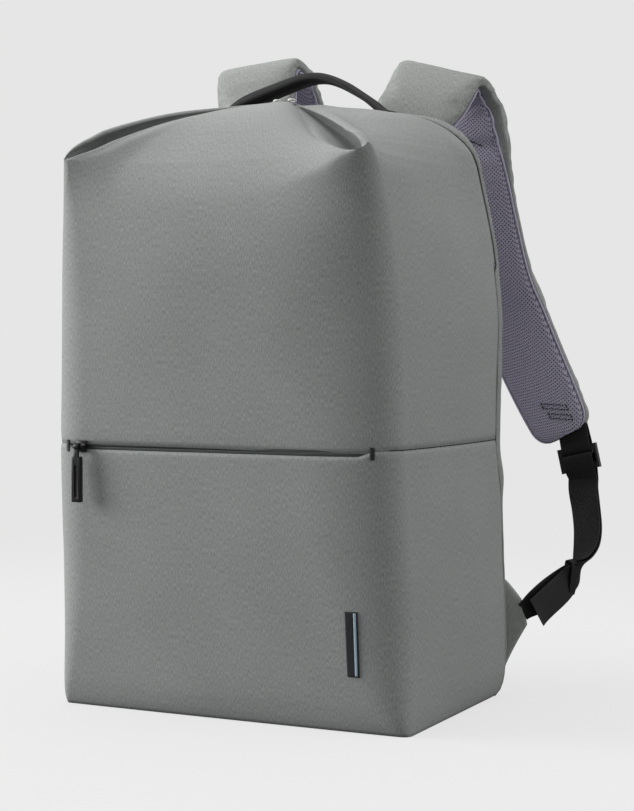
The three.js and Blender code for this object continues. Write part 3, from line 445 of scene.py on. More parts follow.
def skin(level, place):
    """A point of the wrap's outer surface. place runs from the middle of the front, 0, over the corner zone,
    1 to 2, to the rear edge of the side, 3; negative on the left."""
    sign = -1 if place < 0 else 1
    a = abs(place)
    g = guides(level, sign)
    front_end = g["corner"] - Vector((sign * g["front_zone"], 0, 0))
    run = g["edge"] - g["corner"]
    side_start = g["corner"] + run * min(g["zone"] / run.length, CORNER_SHARE)
    if a >= 2:
        w = a - 2
        return side_start.lerp(g["edge"], w) + g["swell"] * (4 * w * (1 - w))
    q = max(a - 1, 0)
    middle = g["middle"].x
    if a <= 1:
        point = Vector((lerp(middle, front_end.x, a), front_end.y, front_end.z))
    else:
        point = front_end * (1 - q) ** 2 + g["corner"] * (2 * q * (1 - q)) + side_start * q * q
    pull = max(1 - abs((point.x - middle) / (sign * g["bulge_end"] - middle)) ** 3, 0)
    point.yz += (g["middle"] - g["corner"]).yz * pull
    point.z -= g["sag"] * ease(a, RIM_START[sign], 1) * (1 - ease(q, *RIM_END))
    if q == 0 or not g["lip"]:
        return point
    pleat = row_at(PLEATS[sign], "q", q)
    rise = g["lip"] * pleat["rise"] + g["ridge"] * pleat["ridge"] - g["valley"] * pleat["dip"]
    reach = g["lip"] * pleat["reach"] - g["under"] * pleat["under"]
    step = LIP_UP * rise + LIP_OUT * reach
    return point + Vector((sign * step.x, step.y, step.z))


def rolled_skin(level, place):
    """The wrap with the bends at the height of the corners rolled round, away from the folds' mouths."""
    a = abs(place)
    from_bend = abs(level - CORNER_TOP)
    front = 1 - ease(a, *FRONT_ROLL_END[-1 if place < 0 else 1])
    side = between(a, SIDE_ROLL_START, SIDE_ROLL_END)
    reach = FRONT_ROLL * (1 - ease(from_bend, *FRONT_ROLL_FADE)) * front
    reach += SIDE_ROLL * (1 - ease(from_bend, *SIDE_ROLL_FADE)) * side
    if reach < LEAST_ROLL:
        return skin(level, place)
    total = Vector()
    for share, weight in ROLL_WEIGHTS:
        total += skin(level + share * reach, place) * weight
    return total / sum(weight for share, weight in ROLL_WEIGHTS)


def outward(level, place):
    """The direction out of the wrap at a point."""
    aside, up = 0.02, 1.5
    along = skin(level, min(place + aside, SIDE_END)) - skin(level, max(place - aside, -SIDE_END))
    upward = skin(min(level + up, TOP), place) - skin(max(level - up, 0), place)
    return along.cross(upward).normalized()


def rumple(point):
    """A slow uneven swell of the wrap's cloth."""
    return RUMPLE_DEPTH * noise.noise(point / RUMPLE_SIZE)


# Making pieces


def laid(across, along, surface, flat=False):
    """A grid of cloth laid on surface(u, v), with the cloth's own lengths in metres as its UV map. flat is
    for a curved piece cut from straight cloth: its threads keep to x, and run on over the bends."""
    mesh = bmesh.new()
    bmesh.ops.create_grid(mesh, x_segments=across, y_segments=along, size=0.5)
    grid = [[None] * (across + 1) for _ in range(along + 1)]
    for vert in mesh.verts:
        u, v = vert.co.x + 0.5, vert.co.y + 0.5
        vert.co = surface(u, v)
        grid[round(v * along)][round(u * across)] = vert
    mesh.verts.index_update()
    lengths = [[0.0, 0.0] for _ in mesh.verts]
    middle = across // 2
    for j, row in enumerate(grid):
        for way, line in ((1, row[middle:]), (-1, row[middle::-1])):
            for here, beyond in zip(line, line[1:]):
                step = (beyond.co - here.co).length * MM
                lengths[beyond.index][0] = lengths[here.index][0] + way * step
        if j:
            for here, below in zip(row, grid[j - 1]):
                step = (here.co - below.co).length * MM
                lengths[here.index][1] = lengths[below.index][1] + step
    if flat:
        for column in zip(*grid):
            length = -column[0].co.z
            for below, here in zip((column[0], *column), column):
                length += (here.co - below.co).yz.length
                lengths[here.index] = [here.co.x * MM, length * MM]
    weave = mesh.loops.layers.uv.new("weave")
    for face in mesh.faces:
        for loop in face.loops:
            loop[weave].uv = lengths[loop.vert.index]
    return mesh


def closed(mesh, caps=True):
    """Sews a tube of cloth along its seam and closes its ends, faces outwards."""
    bmesh.ops.remove_doubles(mesh, verts=mesh.verts, dist=0.01)
    if caps:
        rims = [edge for edge in mesh.edges if edge.is_boundary]
        bmesh.ops.holes_fill(mesh, edges=rims, sides=0)
    bmesh.ops.recalc_face_normals(mesh, faces=mesh.faces)
    return mesh


def mirrored(mesh, sign):
    """The left piece of a pair from the right one."""
    if sign < 0:
        bmesh.ops.scale(mesh, vec=(-1, 1, 1), verts=mesh.verts)
        bmesh.ops.reverse_faces(mesh, faces=mesh.faces)
    return mesh


def softened(solid, radius, segments=2):
    """A copy of a hard CAD piece, in millimetres, with its edges rounded."""
    mesh = bmesh.new()
    mesh.from_mesh(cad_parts[solid].data)
    bmesh.ops.remove_doubles(mesh, verts=mesh.verts, dist=1e-6)
    flat, hard = math.radians(1), math.radians(25)
    bmesh.ops.dissolve_limit(mesh, angle_limit=flat, verts=mesh.verts, edges=mesh.edges)
    bmesh.ops.scale(mesh, vec=(1 / MM,) * 3, verts=mesh.verts)
    bmesh.ops.translate(mesh, vec=(0, -BACK_PLANE, 0), verts=mesh.verts)
    bmesh.ops.bevel(
        mesh,
        geom=[edge for edge in mesh.edges if edge.calc_face_angle(0) > hard],
        offset=radius,
        offset_type="OFFSET",
        affect="EDGES",
        segments=segments,
        profile=0.5,
        material=-1,
        clamp_overlap=True,
    )
    return mesh


def piece(name, mesh, finish, nodes=(), body="bag", crease=50, thickness=0):
    """Puts a finished mesh into the frame, on its body, in the place of the nodes it stands for. thickness
    makes a wall of a sheet, inwards."""
    bmesh.ops.translate(mesh, vec=(0, BACK_PLANE, 0), verts=mesh.verts)
    bmesh.ops.scale(mesh, vec=(MM,) * 3, verts=mesh.verts)
    for face in mesh.faces:
        face.smooth = True
    for edge in mesh.edges:
        edge.smooth = edge.calc_face_angle(0) < math.radians(crease)
    data = bpy.data.meshes.new(name)
    mesh.to_mesh(data)
    mesh.free()
    data.materials.append(finish)
    made = bpy.data.objects.new(name, data)
    bpy.context.scene.collection.objects.link(made)
    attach(made, body)
    if nodes:
        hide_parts(*nodes)
    if thickness:
        wall = made.modifiers.new("cloth thickness", "SOLIDIFY")
        wall.thickness = thickness * MM
        wall.offset = -1.0
    return made


def filled(made, sewn, pressure, cap):
    """Swells a padded piece with a cloth simulation, no further than cap. sewn lists the points that its
    seams hold."""
    settling_frames = 20
    rest = [vert.co.copy() for vert in made.data.vertices]
    group = made.vertex_groups.new(name="sewn")
    group.add(sewn, 1.0, "REPLACE")
    cloth = made.modifiers.new("filling", "CLOTH")
    cloth.settings.vertex_group_mass = "sewn"
    cloth.settings.quality = 6
    cloth.settings.mass = 0.25
    cloth.settings.tension_stiffness = 12
    cloth.settings.compression_stiffness = 12
    cloth.settings.bending_stiffness = 0.6
    cloth.settings.shrink_min = -0.03
    cloth.settings.use_pressure = True
    cloth.settings.uniform_pressure_force = pressure
    cloth.settings.effector_weights.gravity = 0
    cloth.collision_settings.use_self_collision = False
    for step in range(1, settling_frames + 1):
        bpy.context.scene.frame_set(step)
    with bpy.context.temp_override(object=made, active_object=made, selected_objects=[made]):
        bpy.ops.object.modifier_apply(modifier=cloth.name)
    for vert, start in zip(made.data.vertices, rest):
        move = vert.co - start
        if move.length > cap * MM:
            vert.co = start + move.normalized() * cap * MM
    bpy.context.scene.frame_set(1)


def refined(made):
    smooth = made.modifiers.new("smooth cloth", "SUBSURF")
    smooth.levels = 1
    smooth.render_levels = 1


def stitched(name, places, finish, length, width):
    """A row of stitches: each place is its middle, its direction and the cloth's outward direction."""
    mesh = bmesh.new()
    size = Matrix.Diagonal((length / 2, width / 2, width / 2, 1))
    for middle, along, out in places:
        side = out.cross(along).normalized()
        turn = Matrix((along.normalized(), side, out.normalized())).transposed().to_4x4()
        seat = Matrix.Translation(middle) @ turn @ size
        bmesh.ops.create_icosphere(mesh, subdivisions=1, radius=1.0, matrix=seat)
    return piece(name, mesh, finish, crease=80)


def spaced(line, pitch):
    """Places at a pitch along a line of points with outward directions, as stitched() takes them."""
    places = []
    carried = 0.0
    for (a, out_a), (b, out_b) in zip(line, line[1:]):
        run = (b - a).length
        while carried < run:
            share = carried / run
            places.append((a.lerp(b, share), b - a, out_a.lerp(out_b, share)))
            carried += pitch
        carried -= run
    return places


# Finishes

WAVE = 0.314  # bands of a wave texture of scale 1 lie this far apart


def ink(code):
    """An sRGB hex colour as linear RGBA."""
    parts = [int(code[i : i + 2], 16) / 255 for i in (1, 3, 5)]
    return (*[c / 12.92 if c <= 0.04045 else ((c + 0.055) / 1.055) ** 2.4 for c in parts], 1)


def node(tree, kind, inputs=None, **settings):
    """Adds a node with its settings; an input is a value or the socket it is linked from."""
    made = tree.nodes.new("ShaderNode" + kind)
    for name, value in settings.items():
        setattr(made, name, value)
    for name, value in (inputs or {}).items():
        if isinstance(value, bpy.types.NodeSocket):
            tree.links.new(value, made.inputs[name])
        else:
            made.inputs[name].default_value = value
    return made


def material(name):
    made = bpy.data.materials.new(name)
    made.use_nodes = True
    made.node_tree.nodes.clear()
    return made, made.node_tree


def surfaced(tree, share, dark, light, relief, strength, depth, inputs):
    """Ends a finish in its shader: two shades mixed by a share, a relief of that depth in millimetres, and
    the shader's own inputs."""
    colour = node(tree, "Mix", {"Factor": share, 6: dark, 7: light}, data_type="RGBA").outputs[2]
    bump = node(tree, "Bump", {"Height": relief, "Strength": strength, "Distance": depth * MM})
    inputs = {"Base Color": colour, "Normal": bump.outputs["Normal"], **inputs}
    shader = node(tree, "BsdfPrincipled", inputs)
    node(tree, "OutputMaterial", {"Surface": shader.outputs["BSDF"]})


def plain_weave(name, dark, light, coordinate="UV"):
    """Woven polyester with a matt coating: two shades of yarn that mix to a fine fleck, and a soft sheen at
    the turned edges. Its threads are 0.4 mm apart, drawn at 1 mm so that they show."""
    made, tree = material(name)
    thread = 1.0 * MM
    place = node(tree, "TexCoord").outputs[coordinate]
    yarns = {"Vector": place, "Scale": WAVE / thread, "Distortion": 0.6, "Detail": 1.0}
    warp, weft = (node(tree, "TexWave", yarns, bands_direction=way).outputs["Fac"] for way in "XY")
    lattice = node(tree, "Math", {0: warp, 1: weft}, operation="MULTIPLY").outputs[0]
    slub = node(tree, "Mapping", {"Vector": place, "Scale": (1.0, 0.22, 1.0)}).outputs["Vector"]
    fleck = node(tree, "TexNoise", {"Vector": slub, "Scale": 1.5 / thread, "Detail": 1.0}).outputs["Fac"]
    wear = node(tree, "TexNoise", {"Vector": place, "Scale": 18.0, "Detail": 2.0}).outputs["Fac"]
    mixed = -0.21
    for part, weight in ((fleck, 1.2), (lattice, 0.25), (wear, 0.16)):
        mixed = node(tree, "Math", {0: part, 1: weight, 2: mixed}, operation="MULTIPLY_ADD").outputs[0]
    relief = node(tree, "Math", {0: fleck, 1: 0.2, 2: lattice}, operation="MULTIPLY_ADD").outputs[0]
    coating = {"Roughness": 0.8, "Specular IOR Level": 0.25, "Sheen Weight": 0.12, "Sheen Roughness": 0.5}
    surfaced(tree, mixed, ink(dark), ink(light), relief, 0.1, 0.3, coating)
    return made


def spacer_mesh(name, dark, light, painted_hole_shade):
    """Knitted spacer fabric: rows of small round holes, staggered, 2.3 mm apart, in a soft dull knit, with
    painted shade in each hole.
    """
    made, tree = material(name)
    pitch = 2.3 * MM
    place = node(tree, "TexCoord").outputs["UV"]
    turned = node(tree, "Mapping", {"Vector": place, "Rotation": (0, 0, math.radians(45))}).outputs["Vector"]
    holes = {"Vector": turned, "Scale": 1 / pitch, "Randomness": 0.0}
    cells = node(tree, "TexVoronoi", holes, voronoi_dimensions="2D").outputs["Distance"]
    # the hole mask: 0 at a hole's middle, where the painted shade goes, 1 on the knit
    edge = {"Value": cells, "From Min": 0.16, "From Max": 0.36}
    rim = node(tree, "MapRange", edge, interpolation_type="SMOOTHSTEP").outputs[0]
    knit = node(tree, "TexNoise", {"Vector": place, "Scale": 0.6 / MM, "Detail": 2.0}).outputs["Fac"]
    shade = node(tree, "Mix", {"Factor": knit, 6: ink(dark), 7: ink(light)}, data_type="RGBA").outputs[2]
    relief = node(tree, "Math", {0: knit, 1: 0.2, 2: rim}, operation="MULTIPLY_ADD").outputs[0]
    dull = {"Roughness": 0.9, "Specular IOR Level": 0.2, "Sheen Weight": 0.2}
    # painted shade: the hole colour darkens the middle of each hole
    surfaced(tree, rim, ink(painted_hole_shade), shade, relief, 0.6, 0.8, dull)
    return made


def ribbed_web(name, dark, light, rib=1.5):
    """Woven nylon or polyester tape: ribs across the tape, packed close, with a dull gloss on each."""
    made, tree = material(name)
    place = node(tree, "TexCoord").outputs["UV"]
    waves = []
    for way, pitch, uneven in (("Y", rib, 0.4), ("X", 1.1, 0.8)):
        yarns = {"Vector": place, "Scale": WAVE / (pitch * MM), "Distortion": uneven, "Detail": 1.0}
        waves.append(node(tree, "TexWave", yarns, bands_direction=way).outputs["Fac"])
    both = node(tree, "Math", dict(enumerate(waves)), operation="MULTIPLY").outputs[0]
    gloss = {"Roughness": 0.62, "Specular IOR Level": 0.35}
    surfaced(tree, both, ink(dark), ink(light), both, 0.35, 0.4, gloss)
    return made


def moulded(name, dark, light, roughness, metallic=0.0, grain=0.5):
    """A hard black piece: a satin skin with a fine grain from the mould or the paint."""
    made, tree = material(name)
    place = node(tree, "TexCoord").outputs["Object"]
    speck = node(tree, "TexNoise", {"Vector": place, "Scale": 1 / (grain * MM), "Detail": 2.0}).outputs["Fac"]
    cloud = node(tree, "TexNoise", {"Vector": place, "Scale": 90.0, "Detail": 2.0}).outputs["Fac"]
    satin = {"Value": speck, "To Min": roughness - 0.08, "To Max": roughness + 0.08}
    gloss = node(tree, "MapRange", satin).outputs[0]
    hard = {"Roughness": gloss, "Metallic": metallic}
    surfaced(tree, cloud, ink(dark), ink(light), speck, 0.08, 0.2, hard)
    return made


def twisted_thread(name, dark, light):
    """Sewing thread or fine cord: plied strands that wind round it, with light on each turn."""
    made, tree = material(name)
    place = node(tree, "TexCoord").outputs["Object"]
    turn = node(tree, "Mapping", {"Vector": place, "Rotation": (0.6, 0.5, 0.7)}).outputs["Vector"]
    wound = {"Vector": turn, "Scale": WAVE / (0.8 * MM), "Distortion": 1.0}
    plies = node(tree, "TexWave", wound).outputs["Fac"]
    soft = {"Roughness": 0.6, "Sheen Weight": 0.1}
    surfaced(tree, plies, ink(dark), ink(light), plies, 0.3, 0.2, soft)
    return made


coated_polyester = plain_weave("coated_polyester", "#6c6f6d", "#a6a9a7")
band_polyester = plain_weave("band_polyester", "#6a6d6b", "#a2a5a3")
strap_polyester = plain_weave("strap_polyester", "#6e716d", "#a6a9a6")
base_polyester = plain_weave("base_polyester", "#6a6d6b", "#858886", coordinate="Object")
# the third colour is painted shade inside the mesh's holes
lavender_mesh = spacer_mesh("lavender_spacer_mesh", "#a5a1b3", "#c5c1d0", "#5c5967")
lavender_binding = ribbed_web("lavender_binding", "#a8a3b8", "#cdc9d8", rib=0.9)
black_webbing = ribbed_web("nylon_webbing", "#0b0b0b", "#1d1d1d")
handle_webbing = ribbed_web("rolled_webbing", "#080808", "#181918", rib=1.2)
zip_tape = ribbed_web("coated_zip_tape", "#2e3431", "#454c49", rib=0.8)
black_acetal = moulded("moulded_acetal", "#0c0c0c", "#171717", 0.42)
painted_zinc = moulded("painted_zinc_alloy", "#161717", "#2a2b2b", 0.38, metallic=0.35, grain=0.3)
label_weave = ribbed_web("woven_label", "#1a1c1e", "#2a2d30", rib=0.8)
stripe_weave = ribbed_web("woven_label_stripe", "#93abba", "#b3c7d3", rib=0.8)
grey_thread = twisted_thread("grey_thread", "#a6a9a6", "#d0d2cf")
black_thread = twisted_thread("black_thread", "#0e0e0f", "#232325")
pale_cord = twisted_thread("pale_cord", "#c4c4bf", "#ecece8")


# The wrap: upper and lower cloth with the slit of the pocket zip between them

UPPER_HEM = POCKET_LINE + POCKET_OPENING / 2
WRAP_COLUMNS, UPPER_ROWS, LOWER_ROWS = 250, 150, 70
WRAP_SHARES = [(0.0, -3.0), (0.14, -2.0), (0.38, -1.0), (0.62, 1.0), (0.86, 2.0), (1.0, 3.0)]
WALL_SHARE = 0.42  # of the upper cloth's rows lies below the corners
WALL_CROWDING, FACET_CROWDING = 1.3, 1.5  # the rows lie closest at the corners
SLIT_CLOSES = (-0.14, 0.03)  # places past an end of the pocket


def wrap_place(u):
    """The place along the wrap for a share of the cloth's columns, which lie closest in the folds."""
    for (u0, place0), (u1, place1) in zip(WRAP_SHARES, WRAP_SHARES[1:]):
        if u <= u1:
            return lerp(place0, place1, (u - u0) / (u1 - u0))
    return SIDE_END


def upper_hem(place):
    """The upper cloth covers more of the zip towards the right."""
    start, end = POCKET_ENDS
    cover = POCKET_COVER + POCKET_COVER_MORE * ease(place, -0.9, end)
    return UPPER_HEM - cover * between(place, (start - 0.2, start), (end, end + 0.2))


def lower_hem(place):
    start, end = POCKET_ENDS
    outside = max(start - place, place - end)
    return lerp(POCKET_LINE - POCKET_OPENING / 2, UPPER_HEM - POCKET_EDGE_GAP, ease(outside, *SLIT_CLOSES))


def upper_cloth(u, v):
    place = wrap_place(u)
    if v <= WALL_SHARE:
        level = lerp(upper_hem(place), CORNER_TOP, 1 - (1 - v / WALL_SHARE) ** WALL_CROWDING)
    else:
        level = lerp(CORNER_TOP, TOP, ((v - WALL_SHARE) / (1 - WALL_SHARE)) ** FACET_CROWDING)
    point = rolled_skin(level, place)
    rolled = 1 - ease(v, 0, 0.012)
    point += outward(level, place) * (rumple(point) - HEM_ROLL * rolled)
    beside_zip = ease(level, TOP_ZIP_START - TOP_ZIP_RUN_IN, TOP_ZIP_START + 6)
    over_zip = max(ease(level, TOP - 5, TOP), ease(abs(place), 2.93, SIDE_END) * beside_zip)
    return point + Vector((0, ZIP_COVER * over_zip, 0))


def lower_cloth(u, v):
    place = wrap_place(u)
    level = v * lower_hem(place)
    point = skin(level, place)
    rolled = ease(v, 0.985, 1)
    return point + outward(level, place) * (rumple(point) * ease(v, 0, 0.1) - HEM_ROLL * rolled)


def make_wrap():
    for name, rows, surface, thickness in (
        ("upper", UPPER_ROWS, upper_cloth, FOLD_CLOTH),
        ("lower", LOWER_ROWS, lower_cloth, CLOTH),
    ):
        mesh = laid(WRAP_COLUMNS, rows, surface)
        piece(name + "_wrap", mesh, coated_polyester, [name + "_shell"], thickness=thickness)
    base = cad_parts["base_panel"].data
    base.materials.clear()
    base.materials.append(base_polyester)


# The band between the wrap and the back panel, with the top zip in front of it

BAND_ROWS, RIDGE_ROWS, BAND_ACROSS = 90, 8, 12
BAND_SWELL, BAND_UNEVEN = 1.4, 0.5
BAND_SLACK, BAND_SLACK_AT, BAND_SLACK_LENGTH = 3.5, 170.0, 15.0  # loose cloth on the right side
ZIP_TAPE_DEPTH, ZIP_TAPE_SHARES = 2.2, (0.06, 0.94)
BAND_SEAM, BAND_SEAM_LIFT, BAND_SEAM_PITCH = 0.72, 1.3, 3.2  # a share of the band, and sizes


def back_edge(level, sign):
    """The rear edge of the band, which the back panel's rim follows."""
    if level <= CORNER_TOP:
        turned_in = LOW_TURN_IN * (1 - ease(level, *BAND_WIDENS))
        return Vector((sign * (at(WALL, "z", "back", level) - turned_in), back_lean(level), level))
    shoulder = row_at(SHOULDER, "t", (level - CORNER_TOP) / FOLD_SPAN)
    z = shoulder["back_z"] - (shoulder["right_down"] if sign > 0 else 0)
    return Vector((sign * shoulder["back_x"], back_lean(z), z))


def rear_stations(start):
    """The wrap's rear edge, the band's front edge behind the slit and the band's rear edge, from the left
    side over the top to the right side."""

    def station(edge, back, slit):
        return BandStation(edge, edge + Vector((0, slit, 0)), back)

    left, ridge, right = [], [], []
    for i in range(BAND_ROWS + 1):
        level = lerp(start, TOP, i / BAND_ROWS)
        opened = ease(level, TOP_ZIP_START - TOP_ZIP_RUN_IN, TOP_ZIP_START)
        for line, sign in ((left, -1), (right, 1)):
            edge = guides(level, sign)["edge"]
            line.append(station(edge, back_edge(level, sign), lerp(SEAM_SLIT, TOP_ZIP_OPENING, opened)))
    for i in range(1, RIDGE_ROWS):
        edge = skin(TOP, lerp(-SIDE_END, SIDE_END, i / RIDGE_ROWS))
        back = back_edge(TOP, -1).lerp(back_edge(TOP, 1), i / RIDGE_ROWS)
        ridge.append(station(edge, Vector((edge.x, back.y, back.z)), TOP_ZIP_OPENING))
    return left + ridge + right[::-1]


def band_out(stations, i, over):
    """The direction out of the bag at a station, square to the way over the band."""
    before, after = neighbours(stations, i)
    return (after.edge - before.edge).cross(over).normalized()


def make_band(stations):
    last = len(stations) - 1
    top = rear_stations(TOP_ZIP_START)
    top_last = len(top) - 1

    def cloth(u, v):
        i = round(u * last)
        edge, front, back = stations[i]
        swell = BAND_SWELL * math.sin(math.pi * clamp(v)) ** 0.8
        slack = BAND_SLACK * bell(edge.z, BAND_SLACK_AT, BAND_SLACK_LENGTH) if edge.x > 0 else 0
        lift = swell + slack * v + BAND_UNEVEN * noise.noise(Vector((i * 0.35, v, 4.0)))
        over = back - front
        return front + over * v + band_out(stations, i, over) * lift

    def tape(u, v):
        i = round(u * top_last)
        edge, front, back = top[i]
        return edge.lerp(front, lerp(*ZIP_TAPE_SHARES, v)) - band_out(top, i, back - edge) * ZIP_TAPE_DEPTH

    mesh = laid(last, BAND_ACROSS, cloth)
    piece("back_band_cloth", mesh, band_polyester, ["back_band"], thickness=CLOTH)
    piece("top_zip_tape", laid(top_last, 6, tape), zip_tape, ["main_zip"], thickness=1.0)


def make_band_stitches(stations):
    """A row of pale stitches along the rear edge of the band, as far as the top zip goes."""
    line = []
    for i, (edge, front, back) in enumerate(stations):
        if edge.z >= TOP_ZIP_START:
            out = band_out(stations, i, back - front)
            line.append((front.lerp(back, BAND_SEAM) + out * BAND_SEAM_LIFT, out))
    stitched("band_stitches", spaced(line, BAND_SEAM_PITCH), grey_thread, 2.2, 0.6)


# The padded back panel

PANEL_INSET = CLOTH + 0.2
PANEL_FOOT = 5.0  # height of the lower seam
PANEL_MIDDLE = (120.0, 360.0)  # heights of the line on which the faces end
PANEL_INSIDE, PANEL_RIM, PANEL_SWELL = 5.0, 3.0, 8.0  # depths before the back plane, of the rim and behind it
PANEL_SEWN = 2.5  # the rim is held up to this depth
PANEL_SHARES = (0.03, 0.06, 0.1, 0.15, 0.21, 0.28, 0.36, 0.45, 0.55, 0.66, 0.78, 0.9, 1.0)


def make_back_panel(stations):
    rim = []
    for i, station in enumerate(stations):
        before, after = neighbours(stations, i)
        run = after.back - before.back
        inward = Vector((run.z, 0, -run.x)).normalized()
        point = station.back + inward * PANEL_INSET
        rim.append(Vector((point.x, 0, max(point.z, PANEL_FOOT))))
    rim += [rim[-1].lerp(rim[0], i / 30) for i in range(1, 31)]
    # Each ring is a share of the way in from the rim and a depth
    rings = [(1 - i / 8, -PANEL_INSIDE) for i in range(8)]
    rings += [(0, PANEL_INSIDE * (i / 3 - 1)) for i in range(4)]
    rings += [(0.0024 * i * i, PANEL_RIM * i / 3) for i in range(1, 4)]
    rings += [(s, PANEL_RIM + PANEL_SWELL * math.sin(math.pi / 2 * clamp(s * 1.15))) for s in PANEL_SHARES]
    last, last_ring = len(rim) - 1, len(rings) - 1

    def pad(u, v):
        """Rings from the middle of the inner face round the rim to the middle of the rear face."""
        start = rim[round(u * last)]
        share, y = rings[round(v * last_ring)]
        z = lerp(start.z, clamp(start.z, *PANEL_MIDDLE), share)
        return Vector((start.x * (1 - share), back_lean(z) + y, z))

    mesh = laid(last, last_ring, pad)
    weave = mesh.loops.layers.uv["weave"]
    for face in mesh.faces:
        for loop in face.loops:
            loop[weave].uv = loop.vert.co.xz * MM
    panel = piece("back_panel_pad", closed(mesh), lavender_mesh, ["back_panel"])
    sewn = []
    for vert in panel.data.vertices:
        depth = vert.co.y / MM - BACK_PLANE - back_lean(vert.co.z / MM)
        if depth < PANEL_SEWN:
            sewn.append(vert.index)
    filled(panel, sewn, 3.0, 5.0)


# Pocket zip, its stops, slider and pull

TACK_THREADS, TACK_PITCH, TACK_LENGTH, TACK_WIDTH = 14, 0.62, 4.4, 1.0


def make_pocket_zip():
    start, end = POCKET_ENDS

    def tape(u, v):
        place = lerp(start - 0.04, end + 0.04, u)
        level = lerp(POCKET_LINE - 2.1, UPPER_HEM - 0.2, v)
        groove = 0.7 * bell(v, 0.5, 0.07)
        return skin(level, place) - outward(level, place) * (0.9 + groove)

    piece("pocket_zip_tape", laid(120, 16, tape), zip_tape, ["front_zip"], thickness=0.8)
    up = Vector((0, 0, 1))
    for name, place in zip(("left", "right"), POCKET_ENDS):
        out = outward(POCKET_LINE, place)
        seat = skin(POCKET_LINE, place) - up * 4 + out * 0.6
        across = out.cross(up).normalized()
        threads = [(seat + up * (i * TACK_PITCH), across, out) for i in range(TACK_THREADS)]
        tack = stitched("bartack_threads_" + name, threads, black_thread, TACK_LENGTH, TACK_WIDTH)
        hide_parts("bartack_" + name)
    for name, radius, body in (("slider", 0.6, "bag"), ("pull", 0.55, "zip_pull")):
        solid = "front_zip_" + name
        piece("pocket_zip_" + name, softened(solid, radius), painted_zinc, [solid], body)


# Label near the front's lower right corner


def make_label():
    def on_front(x0, x1, z0, z1, lift, dome):
        def surface(u, v):
            x, z = lerp(x0, x1, u), lerp(z0, z1, v)
            g = guides(z, 1)
            flat = g["corner"].x - g["front_zone"]
            place = x / flat if x < flat else 2 - math.sqrt((g["corner"].x - x) / g["front_zone"])
            edge = min(u, 1 - u) * (x1 - x0), min(v, 1 - v) * (z1 - z0)
            rim = ease(min(edge), -0.2, 0.8)
            return skin(z, place) + outward(z, place) * (lift - dome * (1 - rim))

        return surface

    left, right = LABEL_X - LABEL_WIDTH / 2, LABEL_X + LABEL_WIDTH / 2
    low, high = LABEL_Z - LABEL_HEIGHT / 2, LABEL_Z + LABEL_HEIGHT / 2
    mesh = laid(24, 80, on_front(left, right, low, high, 1.5, 0.9))
    piece("label_cloth", mesh, label_weave, ["label_patch"], thickness=1.0)
    end = right - STRIPE_MARGIN
    mesh = laid(6, 60, on_front(end - STRIPE_WIDTH, end, low + 1, high - 1, 1.9, 0.25))
    piece("label_stripe_cloth", mesh, stripe_weave, ["label_stripe"], thickness=0.5)


# Handle, straps and webs


def along_line(points, widths):
    """For each point of a line the width made square to it, the direction over it and its way along."""
    stations = []
    for i, (point, width) in enumerate(zip(points, widths)):
        before, after = neighbours(points, i)
        along = (after - before).normalized()
        over = along.cross(width).normalized()
        stations.append(Station(point, over.cross(along).normalized(), over, along))
    return stations


def round_ring(u, power):
    """A point of a ring with soft corners, from -1 to 1 in both directions."""
    turn = 2 * math.pi * u
    c, s = math.cos(turn), math.sin(turn)
    return math.copysign(abs(c) ** power, c), math.copysign(abs(s) ** power, s)


def make_handle():
    count = 90
    last = len(HANDLE_ARCH) - 1
    rows = [row_at(HANDLE_ARCH, "row", i / count * last) for i in range(count + 1)]
    points = [Vector((row["x"], HANDLE_Y, row["z"])) for row in rows]
    stations = along_line(points, [Vector((0, 1, 0))] * len(points))

    def rolled(u, v):
        i = round(v * count)
        station, roll = stations[i], rows[i]["roll"]
        a, b = round_ring(u, lerp(0.35, 0.8, min(roll, 1)))
        seam = HANDLE_SEAM_DEPTH * roll * bell(u, HANDLE_SEAM, HANDLE_SEAM_WIDTH)
        high = lerp(HANDLE_FOOT, HANDLE_THICK, roll) / 2 - seam
        return station.point + station.across * (a * HANDLE_WIDTH / 2) + station.over * (b * high)

    piece("carry_handle", closed(laid(40, count, rolled)), handle_webbing, ["top_handle"])


def strap_stations(side):
    """Stations of a strap, as a right one. rest is the length from there to its end, past the length from its
    crest to there."""
    last = len(STRAP_LINE) - 1
    rows = [row_at(STRAP_LINE, "row", i / STRAP_ROWS * last) for i in range(STRAP_ROWS + 1)]
    points, widths = [], []
    for row in rows:
        high = ease(row["z"], *STRAP_BEND)
        rising = row["y"] < STRAP_CREST
        foot = side["foot"] * (1 - high) * rising
        share = clamp((row["z"] - STRAP_BOW_FROM) / STRAP_BOW_SPAN)
        bow = side["bow"] * 4 * share * (1 - share) * rising
        lean, lift = side["lean"] * high, side["lift"] * high
        points.append(Vector((row["x"] + lean + foot, row["y"] + bow, row["z"] + lift)))
        tilt = math.radians(row["tilt"] * side["tilt"])
        widths.append(Vector((math.cos(tilt), 0, -math.sin(tilt))))
    rests = [0.0]
    for point, before in zip(points[::-1], points[-2::-1]):
        rests.append(rests[-1] + (point - before).length)
    rests.reverse()
    highest = max(range(STRAP_ROWS + 1), key=lambda i: points[i].z)
    stations = []
    for row, station, rest in zip(rows, along_line(points, widths), rests):
        short = max(STRAP_END_ROUND - rest, 0)
        narrower = STRAP_END_NARROW * (STRAP_END_ROUND - math.sqrt(STRAP_END_ROUND**2 - short**2))
        past = rests[highest] - rest
        stations.append(StrapStation(*station, row["width"] - narrower, row["full"], rest, past))
    return stations


def flare(a, s):
    """How far a strap spreads just past its crest, on its inner or outer side."""
    return (FLARE_INNER if a < 0 else FLARE_OUTER) * between(s.past, *FLARE_SPAN)


